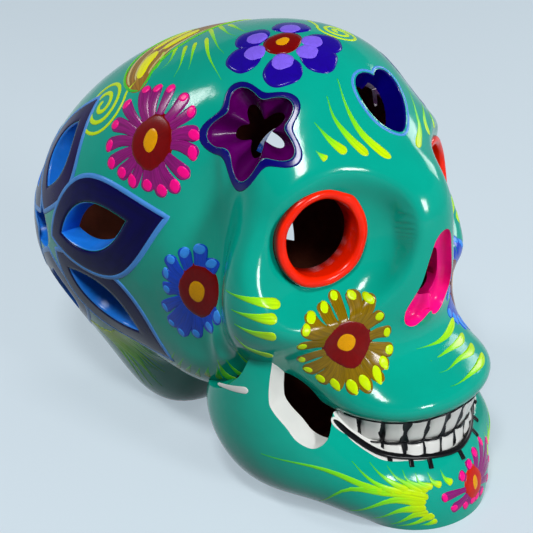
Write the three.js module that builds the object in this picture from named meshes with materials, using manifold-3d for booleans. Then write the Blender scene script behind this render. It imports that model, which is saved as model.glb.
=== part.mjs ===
// A hollow painted pottery skull: two pressed halves, a jaw in two halves, two rows of teeth and two eye
// collars. Millimetres. The face looks towards -Y, the skull's own right side is -X and +Z is up. The
// origin is on the table, under the middle of the skull.
import * as THREE from 'three';
import { mergeVertices } from 'three/addons/utils/BufferGeometryUtils.js';
import Module from 'manifold-3d';

const wasm = await Module();
wasm.setup();

// Walls and fits. The overrun is how far a cut runs on past the clay.
const craniumWall = 6.5;
const jawWall = 7.5;
const jointGap = 0.3;
const overrun = 30;
const seamSnap = 0.001;

// Everything below is counted ahead from a line this far ahead of the middle of the skull's length. The
// finished pieces are moved by as much, so that the origin lies under the middle.
const zeroLineAhead = 3.1;

// Clay masses. Each is an egg: aside is out from the middle, ahead is towards the face and up is from the
// table. tilt lifts its front end and yaw turns it outwards, in degrees. fillet is the clay smoothed in
// where it meets the masses before it in its form. A mass aside of the middle comes as a pair.
const vault = {
  aside: 0, ahead: -26, up: 83.5, halfWidth: 52, halfLength: 76, halfHeight: 48.5, tilt: 35.5, yaw: 0,
  fillet: 1,
};
const neck = {
  aside: 0, ahead: -37, up: 41, halfWidth: 31.5, halfLength: 27, halfHeight: 46, tilt: 0, yaw: 0,
  fillet: 20,
};
const forehead = {
  aside: 0, ahead: 21, up: 102.5, halfWidth: 32.5, halfLength: 31, halfHeight: 36, tilt: 0, yaw: 0,
  fillet: 25,
};
const brow = {
  aside: 17, ahead: 39, up: 105, halfWidth: 20, halfLength: 14.5, halfHeight: 10, tilt: 0, yaw: 0,
  fillet: 16,
};

// The temples stay a little inside the vault's width, and the cheeks come out as far as the vault.
const templeInset = 6;
const temporalHalfWidth = 16.5;
const temporal = {
  aside: vault.halfWidth - templeInset - temporalHalfWidth, ahead: -1.5, up: 63,
  halfWidth: temporalHalfWidth, halfLength: 35, halfHeight: 33.5, tilt: 0, yaw: 0, fillet: 12,
};
const cheekHalfWidth = 15;
const cheek = {
  aside: vault.halfWidth - cheekHalfWidth, ahead: 31.5, up: 76,
  halfWidth: cheekHalfWidth, halfLength: 23, halfHeight: 19.5, tilt: 0, yaw: 0, fillet: 18,
};
const upperJaw = {
  aside: 0, ahead: 43, up: 76.5, halfWidth: 20.5, halfLength: 27.5, halfHeight: 19.5, tilt: 0, yaw: 0,
  fillet: 24,
};
const maxilla = {
  aside: 13, ahead: 42, up: 53, halfWidth: 16, halfLength: 17, halfHeight: 16, tilt: 0, yaw: 0,
  fillet: 20,
};
const muzzle = {
  aside: 0, ahead: 61.5, up: 43, halfWidth: 29.5, halfLength: 23, halfHeight: 9.5, tilt: 1, yaw: 0,
  fillet: 16,
};
const noseBridge = {
  aside: 0, ahead: 54.5, up: 97.5, halfWidth: 12, halfLength: 15.5, halfHeight: 17, tilt: -18, yaw: 0,
  fillet: 14,
};
const chin = {
  aside: 0, ahead: 72, up: 3.5, halfWidth: 18.5, halfLength: 15.5, halfHeight: 21.5, tilt: 0, yaw: 0,
  fillet: 1,
};

// The jaw's body and its rear branches follow the vault's width too, further in.
const jawBodyInset = 11;
const jawBodyHalfWidth = 15;
const jawBody = {
  aside: vault.halfWidth - jawBodyInset - jawBodyHalfWidth, ahead: 37.5, up: 22,
  halfWidth: jawBodyHalfWidth, halfLength: 35.5, halfHeight: 17, tilt: -12, yaw: 0, fillet: 26,
};
const ramusInset = 8;
const ramusHalfWidth = 11;
const ramus = {
  aside: vault.halfWidth - ramusInset - ramusHalfWidth, ahead: 30, up: 40,
  halfWidth: ramusHalfWidth, halfLength: 16.5, halfHeight: 26.5, tilt: 0, yaw: 0, fillet: 22,
};
const mouthFloor = {
  aside: 0, ahead: 40, up: 24, halfWidth: 26, halfLength: 30, halfHeight: 26, tilt: 0, yaw: 0,
  fillet: 10,
};

// Hollows pressed into the clay with a thumb, written the same way
const templeHollow = {
  aside: 60, ahead: 17.5, up: 89.5, halfWidth: 19.5, halfLength: 6, halfHeight: 34, tilt: 0, yaw: 0,
  fillet: 14,
};
const eyeHollow = {
  aside: 43.5, ahead: 57, up: 92, halfWidth: 19.5, halfLength: 17.5, halfHeight: 21.5, tilt: 0, yaw: 24,
  fillet: 6,
};
const eyeDish = {
  aside: 31, ahead: 56, up: 96, halfWidth: 22, halfLength: 13, halfHeight: 22, tilt: 0, yaw: 22,
  fillet: 5,
};

// Pairs of masses are folded softly over the middle, so that the clay has no crease there.
const middleSoftness = 6;

// A form is what is added and then what is pressed in. All of its skin can be seen from its centre.
const cranium = {
  centre: { aside: 0, ahead: 8, up: 72 },
  added: [vault, neck, forehead, brow, temporal, cheek, upperJaw, maxilla, muzzle, noseBridge],
  pressed: [templeHollow, eyeHollow, eyeDish],
};
const jaw = {
  centre: { aside: 0, ahead: 46, up: 24 },
  added: [chin, jawBody, ramus, mouthFloor],
  pressed: [],
};

// How far from a centre the skin is looked for, in strides that are then halved
const farReach = 130;
const strideCount = 90;
const halvingCount = 18;
const probeStep = 0.5;
const blockSide = farReach * 4;

// How many steps a drawn curve takes
const curveSteps = 6;
const starSteps = 8;
const mouthSteps = 15;
const cheekSteps = 3;

// How finely each skin is faceted: spokes round its fore-and-aft axis, and rings along that axis. The face
// share draws the rings towards the face.
const craniumFacets = { spokes: 60, rings: 42, faceShare: 0.45 };
const craniumInnerFacets = { spokes: 32, rings: 22, faceShare: 0.45 };
const jawFacets = { spokes: 44, rings: 28, faceShare: 0.2 };
const jawInnerFacets = { spokes: 32, rings: 20, faceShare: 0.2 };

// Eye collars: a tube of clay with a rolled rim, in a round hole. Their place is the middle of the rim.
const eye = { aside: 28, ahead: 48, up: 95, yaw: 22, pitch: 6 };
const collar = { rimRadius: 15.6, tubeRadius: 14.4, boreRadius: 11.3, length: 15, rollLength: 4.5 };
const collarSpokes = 32;
const rollSteps = 5;

// Nose: a pear-shaped recess with two lobes, and a smaller hole right through it
const nose = {
  tipUp: 95, waistUp: 80, waistHalfWidth: 7.2, lobeUp: 71, lobeBottomUp: 64, notchUp: 67, lobeAside: 6,
  halfWidth: 11,
};
const noseRecess = 4;
const noseHole = { tipUp: 88, bottomUp: 73, halfWidth: 6 };

// Shapes pierced through the wall. Each is placed by a point near the skin, and leans clockwise by an
// angle. Its edge slants inwards by a share of the depth.
const heart = {
  aside: 3, ahead: 45, up: 129.5, lean: 9, halfWidth: 9.5, height: 22, dip: 3.5, slantShare: 0.25,
};
const star = {
  aside: 33.5, ahead: 24.5, up: 126, lean: 30, points: 5, tipRadius: 14.8, valleyRadius: 9.4,
  slantShare: 0.9,
};
const backHole = { aside: 43, ahead: -63, up: 71, lean: -7, radius: 7.5, slantShare: 0.2 };

// However much it slants, no hole closes to less than this share of its width.
const narrowestShare = 0.25;

// Leaves pierced in a ring about the back hole, with their lengths as shares of the longest, from the top
// one on towards the face
const leaf = { rootOut: 18, length: 35, halfWidth: 7.6, slantShare: 0.25 };
const leafLengthShares = [0.72, 1, 0.9, 0.6, 0.55, 0.6];

// The mouth: the jaw is cut away over its lip, and the teeth stand in the opening.
const mouth = { cornerAhead: 54, cornerUp: 38, dipAhead: 62, dipUp: 28.5, lipAhead: 73, lipUp: 24.5 };
const teeth = {
  arcMiddle: 46, halfWidth: 25, front: 79, thickness: 5, biteUp: 29.2, topUp: 40, swell: 0.8, count: 14,
};
const toothFlareShare = 0.13;
const toothSteps = 4;

// The opening behind each cheek, as corners of its outline in shares of its half sizes, and the ledge
// where the jaw's branch ends below the temple
const cheekOpeningDrop = 12;
const cheekOpening = {
  ahead: 47.5, up: maxilla.up - cheekOpeningDrop, halfLength: 13, halfHeight: 12,
};
const cheekCornerShares = [
  [-0.9, 0.9], [-0.95, 0.1], [-0.75, -0.4], [-0.15, -0.75], [0.35, -0.9], [0.85, -0.5], [1, 0.05],
  [0.85, 0.6], [0.15, 1.1],
];
const ledge = { ahead: 26, up: 38.5, rearAhead: 10, rearUp: 34 };

// Ways inside: the throat between cranium and jaw, and the vent under the neck's foot
const throat = { ahead: 23, halfWidth: 19, halfLength: 28 };
const vent = { ahead: -37, radius: 6 };
const shaftSpokes = 28;

// Glazes
const teal = new THREE.MeshStandardMaterial({ color: 0x00a58f, roughness: 0.18, metalness: 0 });
const enamelWhite = new THREE.MeshStandardMaterial({ color: 0xe9e6dc, roughness: 0.22, metalness: 0 });
const collarRed = new THREE.MeshStandardMaterial({ color: 0xe02410, roughness: 0.2, metalness: 0 });

// Nearly the distance from a point to an egg's surface, negative inside it
function eggDistance(egg, x, ahead, up) {
  const yaw = THREE.MathUtils.degToRad(egg.yaw);
  const tilt = THREE.MathUtils.degToRad(egg.tilt);
  const offX = x - egg.aside;
  const offAhead = ahead - egg.ahead;
  const offUp = up - egg.up;
  const across = offX * Math.cos(yaw) - offAhead * Math.sin(yaw);
  const outward = offX * Math.sin(yaw) + offAhead * Math.cos(yaw);
  const along = outward * Math.cos(tilt) + offUp * Math.sin(tilt);
  const above = offUp * Math.cos(tilt) - outward * Math.sin(tilt);
  const reach = Math.hypot(across / egg.halfWidth, along / egg.halfLength, above / egg.halfHeight);
  const slope = Math.hypot(
    across / egg.halfWidth ** 2,
    along / egg.halfLength ** 2,
    above / egg.halfHeight ** 2,
  );
  const atMiddle = -Math.min(egg.halfWidth, egg.halfLength, egg.halfHeight);
  return slope > 0 ? (reach * (reach - 1)) / slope : atMiddle;
}

// The smaller of two distances, rounded off by a fillet where they are alike
function smoothed(a, b, fillet) {
  const near = Math.max(fillet - Math.abs(a - b), 0) / fillet;
  return Math.min(a, b) - (near * near * fillet) / 4;
}

// Nearly the distance from a point to a whole form
function formDistance(form, point) {
  const aside = Math.hypot(point.x, middleSoftness);
  const distanceTo = (egg) => eggDistance(egg, egg.aside === 0 ? point.x : aside, -point.y, point.z);
  let distance = distanceTo(form.added[0]);
  for (const egg of form.added.slice(1)) distance = smoothed(distance, distanceTo(egg), egg.fillet);
  for (const egg of form.pressed) distance = -smoothed(-distance, distanceTo(egg), egg.fillet);
  return distance;
}

function pointAt(place) {
  return new THREE.Vector3(place.aside, -place.ahead, place.up);
}

// How far along a ray from the form's centre its skin lies, at a depth below the clay's face
function skinReach(form, direction, depth) {
  const centre = pointAt(form.centre);
  const point = new THREE.Vector3();
  const isInside = (length) => {
    point.copy(direction).multiplyScalar(length).add(centre);
    return formDistance(form, point) < -depth;
  };
  const stride = farReach / strideCount;
  let outer = farReach;
  while (outer > stride && !isInside(outer - stride)) outer -= stride;
  let inner = outer - stride;
  for (let i = 0; i < halvingCount; i += 1) {
    const middle = (inner + outer) / 2;
    if (isInside(middle)) inner = middle;
    else outer = middle;
  }
  return (inner + outer) / 2;
}

// The same mesh with nothing but its places, each kept once
function bare(geometry) {
  geometry.deleteAttribute('normal');
  geometry.deleteAttribute('uv');
  return mergeVertices(geometry);
}

// Geometry to solid, for joining and cutting. Corners that lie on the seam but for rounding are put
// right on it, so that no cut leaves a film of clay there.
function toSolid(geometry) {
  const merged = bare(geometry);
  const corners = merged.attributes.position;
  for (let i = 0; i < corners.count; i += 1) {
    if (Math.abs(corners.getX(i)) < seamSnap) corners.setX(i, 0);
  }
  return new wasm.Manifold(new wasm.Mesh({
    numProp: 3,
    vertProperties: new Float32Array(merged.attributes.position.array),
    triVerts: new Uint32Array(merged.index.array),
  }));
}

function toGeometry(solid) {
  const mesh = solid.getMesh();
  const geometry = new THREE.BufferGeometry();
  geometry.setAttribute('position', new THREE.BufferAttribute(new Float32Array(mesh.vertProperties), 3));
  geometry.setIndex(new THREE.BufferAttribute(new Uint32Array(mesh.triVerts), 1));
  return geometry;
}

// A block of everything to the left of the seam, and one of everything over the table
function leftBlock() {
  return toSolid(new THREE.BoxGeometry(blockSide, blockSide, blockSide).translate(blockSide / 2, 0, 0));
}

function tableBlock() {
  return toSolid(new THREE.BoxGeometry(blockSide, blockSide, blockSide).translate(0, 0, blockSide / 2));
}

// A left half and its mirror image, as one solid
function twinned(leftHalf) {
  return leftHalf.add(leftHalf.mirror([1, 0, 0]));
}

// A form's skin: a ball whose every corner is pushed out to the clay. The ball's poles are fore and aft,
// and it is seen from behind its middle, so that its facets are finer on the face. Its right half mirrors
// its left.
function skin(form, depth, facets) {
  const geometry = bare(new THREE.SphereGeometry(1, facets.spokes, facets.rings));
  const corners = geometry.attributes.position;
  const corner = new THREE.Vector3();
  for (let i = 0; i < corners.count; i += 1) {
    corner.fromBufferAttribute(corners, i);
    corner.setY(corner.y - facets.faceShare).normalize();
    corner.multiplyScalar(skinReach(form, corner, depth)).add(pointAt(form.centre));
    corners.setXYZ(i, corner.x, corner.y, corner.z);
  }
  return twinned(toSolid(geometry).intersect(leftBlock()));
}

// A direction turned into the plane that a facing is square to
function flattened(direction, facing) {
  return direction.clone().addScaledVector(facing, -direction.dot(facing)).normalize();
}

// The place on the cranium's skin nearest along the ray to a point, the way the clay faces there, and the
// directions up and aside over the skin
function seatAt(place) {
  const centre = pointAt(cranium.centre);
  const direction = pointAt(place).sub(centre).normalize();
  const point = direction.clone().multiplyScalar(skinReach(cranium, direction, 0)).add(centre);
  const slopeAlong = (x, y, z) => {
    const step = new THREE.Vector3(x, y, z).multiplyScalar(probeStep);
    return formDistance(cranium, point.clone().add(step)) - formDistance(cranium, point.clone().sub(step));
  };
  const facing = new THREE.Vector3(slopeAlong(1, 0, 0), slopeAlong(0, 1, 0), slopeAlong(0, 0, 1)).normalize();
  const up = flattened(new THREE.Vector3(0, 0, 1), facing);
  const aside = new THREE.Vector3().crossVectors(up, facing);
  return { point, facing, up, aside };
}

// A direction over the skin at a seat, turned clockwise from up as seen from outside, by degrees
function heading(seat, degrees) {
  const angle = THREE.MathUtils.degToRad(degrees);
  return seat.up.clone().multiplyScalar(Math.cos(angle)).addScaledVector(seat.aside, Math.sin(angle));
}

// A cutter right through the wall at a seat, with its top towards a direction. Its edge slants inwards.
function piercing(outline, seat, towards, slantShare) {
  const depth = craniumWall * 2;
  const cutter = new THREE.ExtrudeGeometry(outline, {
    depth: depth * 2, bevelEnabled: false, curveSegments: curveSteps,
  });
  cutter.translate(0, 0, -depth);
  const corners = cutter.attributes.position;
  for (let i = 0; i < corners.count; i += 1) {
    const radius = Math.hypot(corners.getX(i), corners.getY(i));
    const height = THREE.MathUtils.clamp(corners.getZ(i), -depth, depth);
    const spread = Math.max(radius + slantShare * height, radius * narrowestShare) / radius;
    corners.setXY(i, corners.getX(i) * spread, corners.getY(i) * spread);
  }
  const top = flattened(towards, seat.facing);
  const side = new THREE.Vector3().crossVectors(top, seat.facing);
  cutter.applyMatrix4(new THREE.Matrix4().makeBasis(side, top, seat.facing).setPosition(seat.point));
  return toSolid(cutter);
}

function heartOutline() {
  const { halfWidth, height, dip } = heart;
  const shoulder = height / 2;
  const shape = new THREE.Shape();
  shape.moveTo(0, shoulder - dip);
  shape.bezierCurveTo(halfWidth / 4, shoulder, halfWidth, shoulder, halfWidth, shoulder / 3);
  shape.bezierCurveTo(halfWidth, -shoulder / 3, halfWidth / 3, -shoulder, 0, -shoulder);
  shape.bezierCurveTo(-halfWidth / 3, -shoulder, -halfWidth, -shoulder / 3, -halfWidth, shoulder / 3);
  shape.bezierCurveTo(-halfWidth, shoulder, -halfWidth / 4, shoulder, 0, shoulder - dip);
  return shape;
}

// A star with round points: its edge swings evenly between points and valleys.
function starOutline() {
  const middle = (star.tipRadius + star.valleyRadius) / 2;
  const swing = (star.tipRadius - star.valleyRadius) / 2;
  const stepCount = star.points * starSteps;
  return new THREE.Shape(Array.from({ length: stepCount }, (unused, i) => {
    const angle = (i / stepCount) * 2 * Math.PI;
    const radius = middle + swing * Math.cos(star.points * angle);
    return new THREE.Vector2(radius * Math.sin(angle), radius * Math.cos(angle));
  }));
}

// A leaf, pointed at both ends
function leafOutline(length) {
  const shape = new THREE.Shape();
  shape.moveTo(0, -length / 2);
  shape.quadraticCurveTo(leaf.halfWidth * 2, 0, 0, length / 2);
  shape.quadraticCurveTo(-leaf.halfWidth * 2, 0, 0, -length / 2);
  return shape;
}

// The pear of the nose, drawn on the face
function noseOutline() {
  const { tipUp, waistUp, waistHalfWidth, lobeUp, lobeBottomUp, notchUp, lobeAside, halfWidth } = nose;
  const shape = new THREE.Shape();
  shape.moveTo(0, tipUp);
  shape.quadraticCurveTo(lobeAside, tipUp, waistHalfWidth, waistUp);
  shape.quadraticCurveTo(halfWidth, (waistUp + lobeUp) / 2, halfWidth, lobeUp);
  shape.quadraticCurveTo(halfWidth, lobeBottomUp, lobeAside, lobeBottomUp);
  shape.quadraticCurveTo(lobeAside / 2, lobeBottomUp, 0, notchUp);
  shape.quadraticCurveTo(-lobeAside / 2, lobeBottomUp, -lobeAside, lobeBottomUp);
  shape.quadraticCurveTo(-halfWidth, lobeBottomUp, -halfWidth, lobeUp);
  shape.quadraticCurveTo(-halfWidth, (waistUp + lobeUp) / 2, -waistHalfWidth, waistUp);
  shape.quadraticCurveTo(-lobeAside, tipUp, 0, tipUp);
  return shape;
}

function noseHoleOutline() {
  const { tipUp, bottomUp, halfWidth } = noseHole;
  const shape = new THREE.Shape();
  shape.moveTo(0, tipUp);
  shape.quadraticCurveTo(halfWidth, tipUp, halfWidth, (tipUp + bottomUp) / 2);
  shape.quadraticCurveTo(halfWidth, bottomUp, 0, bottomUp);
  shape.quadraticCurveTo(-halfWidth, bottomUp, -halfWidth, (tipUp + bottomUp) / 2);
  shape.quadraticCurveTo(-halfWidth, tipUp, 0, tipUp);
  return shape;
}

// A prism whose outline is drawn on the face, and which runs from the skull's middle out past the nose
function facePrism(outline) {
  const prism = new THREE.ExtrudeGeometry(outline, {
    depth: farReach, bevelEnabled: false, curveSegments: curveSteps,
  });
  prism.rotateX(Math.PI / 2);
  return toSolid(prism);
}

// A prism whose outline is drawn from the side, ahead and up, and which runs through from side to side
function sidePrism(points) {
  const prism = new THREE.ExtrudeGeometry(new THREE.Shape(points), { depth: farReach, bevelEnabled: false });
  const ahead = new THREE.Vector3(0, -1, 0);
  const up = new THREE.Vector3(0, 0, 1);
  const across = new THREE.Vector3(-1, 0, 0);
  prism.applyMatrix4(new THREE.Matrix4().makeBasis(ahead, up, across).setPosition(farReach / 2, 0, 0));
  return toSolid(prism);
}

// An upright shaft of oval plan, from under the table up into the cranium's hollow
function shaft(ahead, halfWidth, halfLength) {
  const round = new THREE.CylinderGeometry(1, 1, cranium.centre.up + overrun, shaftSpokes);
  round.rotateX(Math.PI / 2);
  round.scale(halfWidth, halfLength, 1);
  round.translate(0, -ahead, (cranium.centre.up - overrun) / 2);
  return toSolid(round);
}

// Something turned about the way that the left eye looks, from its own upright axis
function setInEye(geometry) {
  const yaw = THREE.MathUtils.degToRad(eye.yaw);
  const pitch = THREE.MathUtils.degToRad(eye.pitch);
  geometry.applyMatrix4(new THREE.Matrix4().makeRotationX(Math.PI - pitch));
  geometry.applyMatrix4(new THREE.Matrix4().makeRotationZ(yaw));
  return geometry.translate(eye.aside, -eye.ahead, eye.up);
}

// The hole that a collar sits in, wider where its rolled rim lies
function eyeBore() {
  const rimRadius = collar.rimRadius + jointGap;
  const tubeRadius = collar.tubeRadius + jointGap;
  const seatDepth = collar.rollLength + jointGap;
  const profile = [
    new THREE.Vector2(0, -collar.length - collar.tubeRadius / 2),
    new THREE.Vector2(tubeRadius, -collar.length - collar.tubeRadius / 2),
    new THREE.Vector2(tubeRadius, -seatDepth),
    new THREE.Vector2(rimRadius, -seatDepth),
    new THREE.Vector2(rimRadius, overrun),
    new THREE.Vector2(0, overrun),
  ];
  return toSolid(setInEye(new THREE.LatheGeometry(profile, collarSpokes)));
}

function leftCollar() {
  const { rimRadius, tubeRadius, boreRadius, length, rollLength } = collar;
  const rollMiddle = (rimRadius + boreRadius) / 2;
  const rollReach = (rimRadius - boreRadius) / 2;
  const profile = [
    new THREE.Vector2(boreRadius, -length),
    new THREE.Vector2(tubeRadius, -length),
    new THREE.Vector2(tubeRadius, -rollLength),
    new THREE.Vector2(rimRadius, -rollLength),
  ];
  for (let i = 0; i <= rollSteps; i += 1) {
    const angle = (i / rollSteps) * Math.PI;
    const out = (rollLength / 2) * (Math.sin(angle) - 1);
    profile.push(new THREE.Vector2(rollMiddle + rollReach * Math.cos(angle), out));
  }
  profile.push(new THREE.Vector2(boreRadius, -length));
  return toSolid(setInEye(new THREE.LatheGeometry(profile, collarSpokes)));
}

// The flower pierced in the back: its round hole and the leaves about it
function backFlowerCutter() {
  const seat = seatAt(backHole);
  const round = new THREE.Shape().absarc(0, 0, backHole.radius, 0, 2 * Math.PI);
  let cutter = piercing(round, seat, seat.up, backHole.slantShare);
  leafLengthShares.forEach((share, i) => {
    const length = leaf.length * share;
    const towards = heading(seat, backHole.lean - (i / leafLengthShares.length) * 360);
    const place = seat.point.clone().addScaledVector(towards, leaf.rootOut + length / 2);
    const leafSeat = seatAt({ aside: place.x, ahead: -place.y, up: place.z });
    cutter = cutter.add(piercing(leafOutline(length), leafSeat, towards, leaf.slantShare));
  });
  return cutter;
}

// The heart's cutter, which leans off the middle and so cuts into both halves
function heartCutter() {
  const seat = seatAt(heart);
  return piercing(heartOutline(), seat, heading(seat, heart.lean), heart.slantShare);
}

// The left half of the cranium with the face: its skin, hollowed, pierced and bored
function leftCranium() {
  const starSeat = seatAt(star);
  const noseFloor = skin(cranium, noseRecess, craniumInnerFacets);
  return skin(cranium, 0, craniumFacets)
    .intersect(leftBlock())
    .intersect(tableBlock())
    .subtract(skin(cranium, craniumWall, craniumInnerFacets))
    .subtract(facePrism(noseOutline()).subtract(noseFloor))
    .subtract(facePrism(noseHoleOutline()))
    .subtract(eyeBore())
    .subtract(shaft(throat.ahead, throat.halfWidth, throat.halfLength))
    .subtract(shaft(vent.ahead, vent.radius, vent.radius))
    .subtract(piercing(starOutline(), starSeat, heading(starSeat, star.lean), star.slantShare))
    .subtract(backFlowerCutter());
}

// The mouth: everything over the jaw's lip, raised by a gap
function mouthCutter(gap) {
  const line = new THREE.SplineCurve([
    new THREE.Vector2(mouth.cornerAhead, mouth.cornerUp + gap),
    new THREE.Vector2(mouth.dipAhead, mouth.dipUp + gap),
    new THREE.Vector2(mouth.lipAhead, mouth.lipUp + gap),
    new THREE.Vector2(farReach, mouth.lipUp + gap),
  ]);
  return sidePrism([
    ...line.getPoints(mouthSteps),
    new THREE.Vector2(farReach, cranium.centre.up),
    new THREE.Vector2(mouth.cornerAhead, cranium.centre.up),
  ]);
}

function cheekCutter() {
  const corners = cheekCornerShares.map(([alongShare, upShare]) => new THREE.Vector3(
    cheekOpening.ahead + alongShare * cheekOpening.halfLength,
    cheekOpening.up + upShare * cheekOpening.halfHeight,
    0,
  ));
  const outline = new THREE.CatmullRomCurve3(corners, true).getPoints(cheekCornerShares.length * cheekSteps);
  return sidePrism(outline.slice(1).map((point) => new THREE.Vector2(point.x, point.y)));
}

// What is cut off the top of the jaw's branch, behind its post
function ledgeCutter() {
  return sidePrism([
    new THREE.Vector2(ledge.ahead, ledge.up),
    new THREE.Vector2(ledge.ahead, cranium.centre.up),
    new THREE.Vector2(-farReach, cranium.centre.up),
    new THREE.Vector2(-farReach, ledge.rearUp),
    new THREE.Vector2(ledge.rearAhead, ledge.rearUp),
  ]);
}

// The left half of the jaw: a hollow horseshoe, open below and behind, that is cut to seat against the
// cranium
function leftJaw(seatCutter) {
  return skin(jaw, 0, jawFacets)
    .intersect(leftBlock())
    .intersect(tableBlock())
    .subtract(skin(jaw, jawWall, jawInnerFacets))
    .subtract(shaft(throat.ahead, throat.halfWidth, throat.halfLength))
    .subtract(mouthCutter(0))
    .subtract(cheekCutter())
    .subtract(ledgeCutter())
    .subtract(seatCutter);
}

// A place on the arch that the teeth follow, from its right end at 0 round to its left end at 1
function archPoint(share, outwards) {
  const angle = share * Math.PI;
  const depth = teeth.front - teeth.arcMiddle + outwards;
  return new THREE.Vector2(
    -(teeth.halfWidth + outwards) * Math.cos(angle),
    -(teeth.arcMiddle + depth * Math.sin(angle)),
  );
}

// A row of teeth: a strip round the arch that swells at each tooth and flares upwards, between two
// heights. It is cut to the mouth's opening and seated against the cranium.
function teethStrip(bottomUp, topUp, seatCutter) {
  const stepCount = teeth.count * toothSteps;
  const outer = Array.from({ length: stepCount + 1 }, (unused, i) => {
    const swell = teeth.swell * Math.abs(Math.sin((i / toothSteps) * Math.PI));
    return archPoint(i / stepCount, swell);
  });
  const inner = Array.from({ length: teeth.count + 1 }, (unused, i) => (
    archPoint(1 - i / teeth.count, -teeth.thickness)
  ));
  const strip = new THREE.ExtrudeGeometry(new THREE.Shape([...outer, ...inner]), {
    depth: topUp - bottomUp, bevelEnabled: false,
  });
  strip.translate(0, teeth.arcMiddle, bottomUp);
  const corners = strip.attributes.position;
  for (let i = 0; i < corners.count; i += 1) {
    const rise = (corners.getZ(i) - teeth.biteUp) / (teeth.topUp - teeth.biteUp);
    const spread = 1 + toothFlareShare * Math.max(rise, 0);
    corners.setXY(i, corners.getX(i) * spread, corners.getY(i) * spread);
  }
  strip.translate(0, -teeth.arcMiddle, 0);
  return toSolid(strip).intersect(mouthCutter(jointGap)).subtract(seatCutter);
}

const group = new THREE.Group();

function addPiece(name, solid, material) {
  const mesh = new THREE.Mesh(toGeometry(solid.translate([0, -zeroLineAhead, 0])), material);
  mesh.name = name;
  group.add(mesh);
}

// A left piece and its mirror image on the right
function addPair(name, leftSolid, material) {
  addPiece(`right_${name}`, leftSolid.mirror([1, 0, 0]), material);
  addPiece(`left_${name}`, leftSolid, material);
}

const seatCutter = skin(cranium, -jointGap, craniumFacets);
const plainShell = leftCranium();
addPiece('right_shell', plainShell.mirror([1, 0, 0]).subtract(heartCutter()), teal);
addPiece('left_shell', plainShell.subtract(heartCutter()), teal);
addPair('jaw_half', leftJaw(seatCutter), teal);
addPair('eye_collar', leftCollar(), collarRed);
addPiece('upper_teeth', teethStrip(teeth.biteUp + jointGap, teeth.topUp, seatCutter), enamelWhite);
addPiece('lower_teeth', teethStrip(0, teeth.biteUp, seatCutter), enamelWhite);

export default group;
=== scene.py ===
"""A hollow pottery skull, glazed teal and painted with flowers, with a heart, stars and leaves cut through
its wall, rolled clay collars in its eyes and two rows of teeth.

The clay is the same blend of eggs as in the part's own source, worked out finely. Places are in
millimetres: aside or x across, ahead towards the face and up from the table. What both sides have is
written for the left and mirrored for the right.
"""

from collections import namedtuple

import bpy
import numpy as np
from mathutils import Matrix


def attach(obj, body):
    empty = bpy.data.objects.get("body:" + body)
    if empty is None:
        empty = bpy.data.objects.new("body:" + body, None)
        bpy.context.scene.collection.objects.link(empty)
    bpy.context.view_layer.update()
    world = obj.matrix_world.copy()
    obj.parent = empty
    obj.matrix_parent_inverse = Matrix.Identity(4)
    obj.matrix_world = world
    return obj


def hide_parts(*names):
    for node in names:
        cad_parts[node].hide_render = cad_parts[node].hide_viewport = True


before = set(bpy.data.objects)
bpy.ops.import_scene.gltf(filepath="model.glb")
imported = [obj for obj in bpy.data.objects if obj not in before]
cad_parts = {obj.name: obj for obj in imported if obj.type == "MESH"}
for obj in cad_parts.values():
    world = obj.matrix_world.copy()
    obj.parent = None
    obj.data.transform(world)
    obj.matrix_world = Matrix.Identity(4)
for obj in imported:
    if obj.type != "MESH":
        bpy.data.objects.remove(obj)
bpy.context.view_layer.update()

bl_info = {
    "name": "Painted pottery skull",
    "version": (1, 0, 0),
    "blender": (4, 5, 0),
    "location": "3D View > Sidebar > Skull",
    "description": "Builds the glazed and painted pieces of a pierced pottery skull",
    "category": "Add Mesh",
}


# Sizes and colours that a user would change

def linear(hex_colour):
    """An sRGB hex colour as the linear one that a shader takes"""
    srgb = np.array([int(hex_colour[i:i + 2], 16) for i in (1, 3, 5)]) / 255
    low, high = srgb / 12.92, ((srgb + 0.055) / 1.055) ** 2.4
    return tuple(np.where(srgb <= 0.04045, low, high).tolist())


def length(name, default, low, high, description):
    """A length in metres, which the panel shows in the scene's own unit"""
    return bpy.props.FloatProperty(
        name=name, description=description, default=default, min=low, max=high, unit="LENGTH", precision=4
    )


def colour(name, default, description):
    """A colour that the panel shows as a swatch"""
    return bpy.props.FloatVectorProperty(
        name=name, description=description, default=linear(default), min=0, max=1, size=3, subtype="COLOR"
    )


class SkullSizes(bpy.types.PropertyGroup):
    """Lengths that a user would change"""

    lip: length("Lip", 0.0011, 0.0002, 0.003, "Radius of the glazed edge of each opening")
    collar_radius: length("Collar radius", 0.0154, 0.012, 0.017, "Outer radius of the eye collar's rim")
    collar_bore: length("Collar bore", 0.0120, 0.008, 0.013, "Radius of the hole through the eye collar")
    collar_depth: length("Collar depth", 0.009, 0.008, 0.02, "How far the eye collar reaches in")
    paint: length("Paint thickness", 0.00012, 0.00005, 0.0006, "How far a mark stands up from the glaze")


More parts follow.
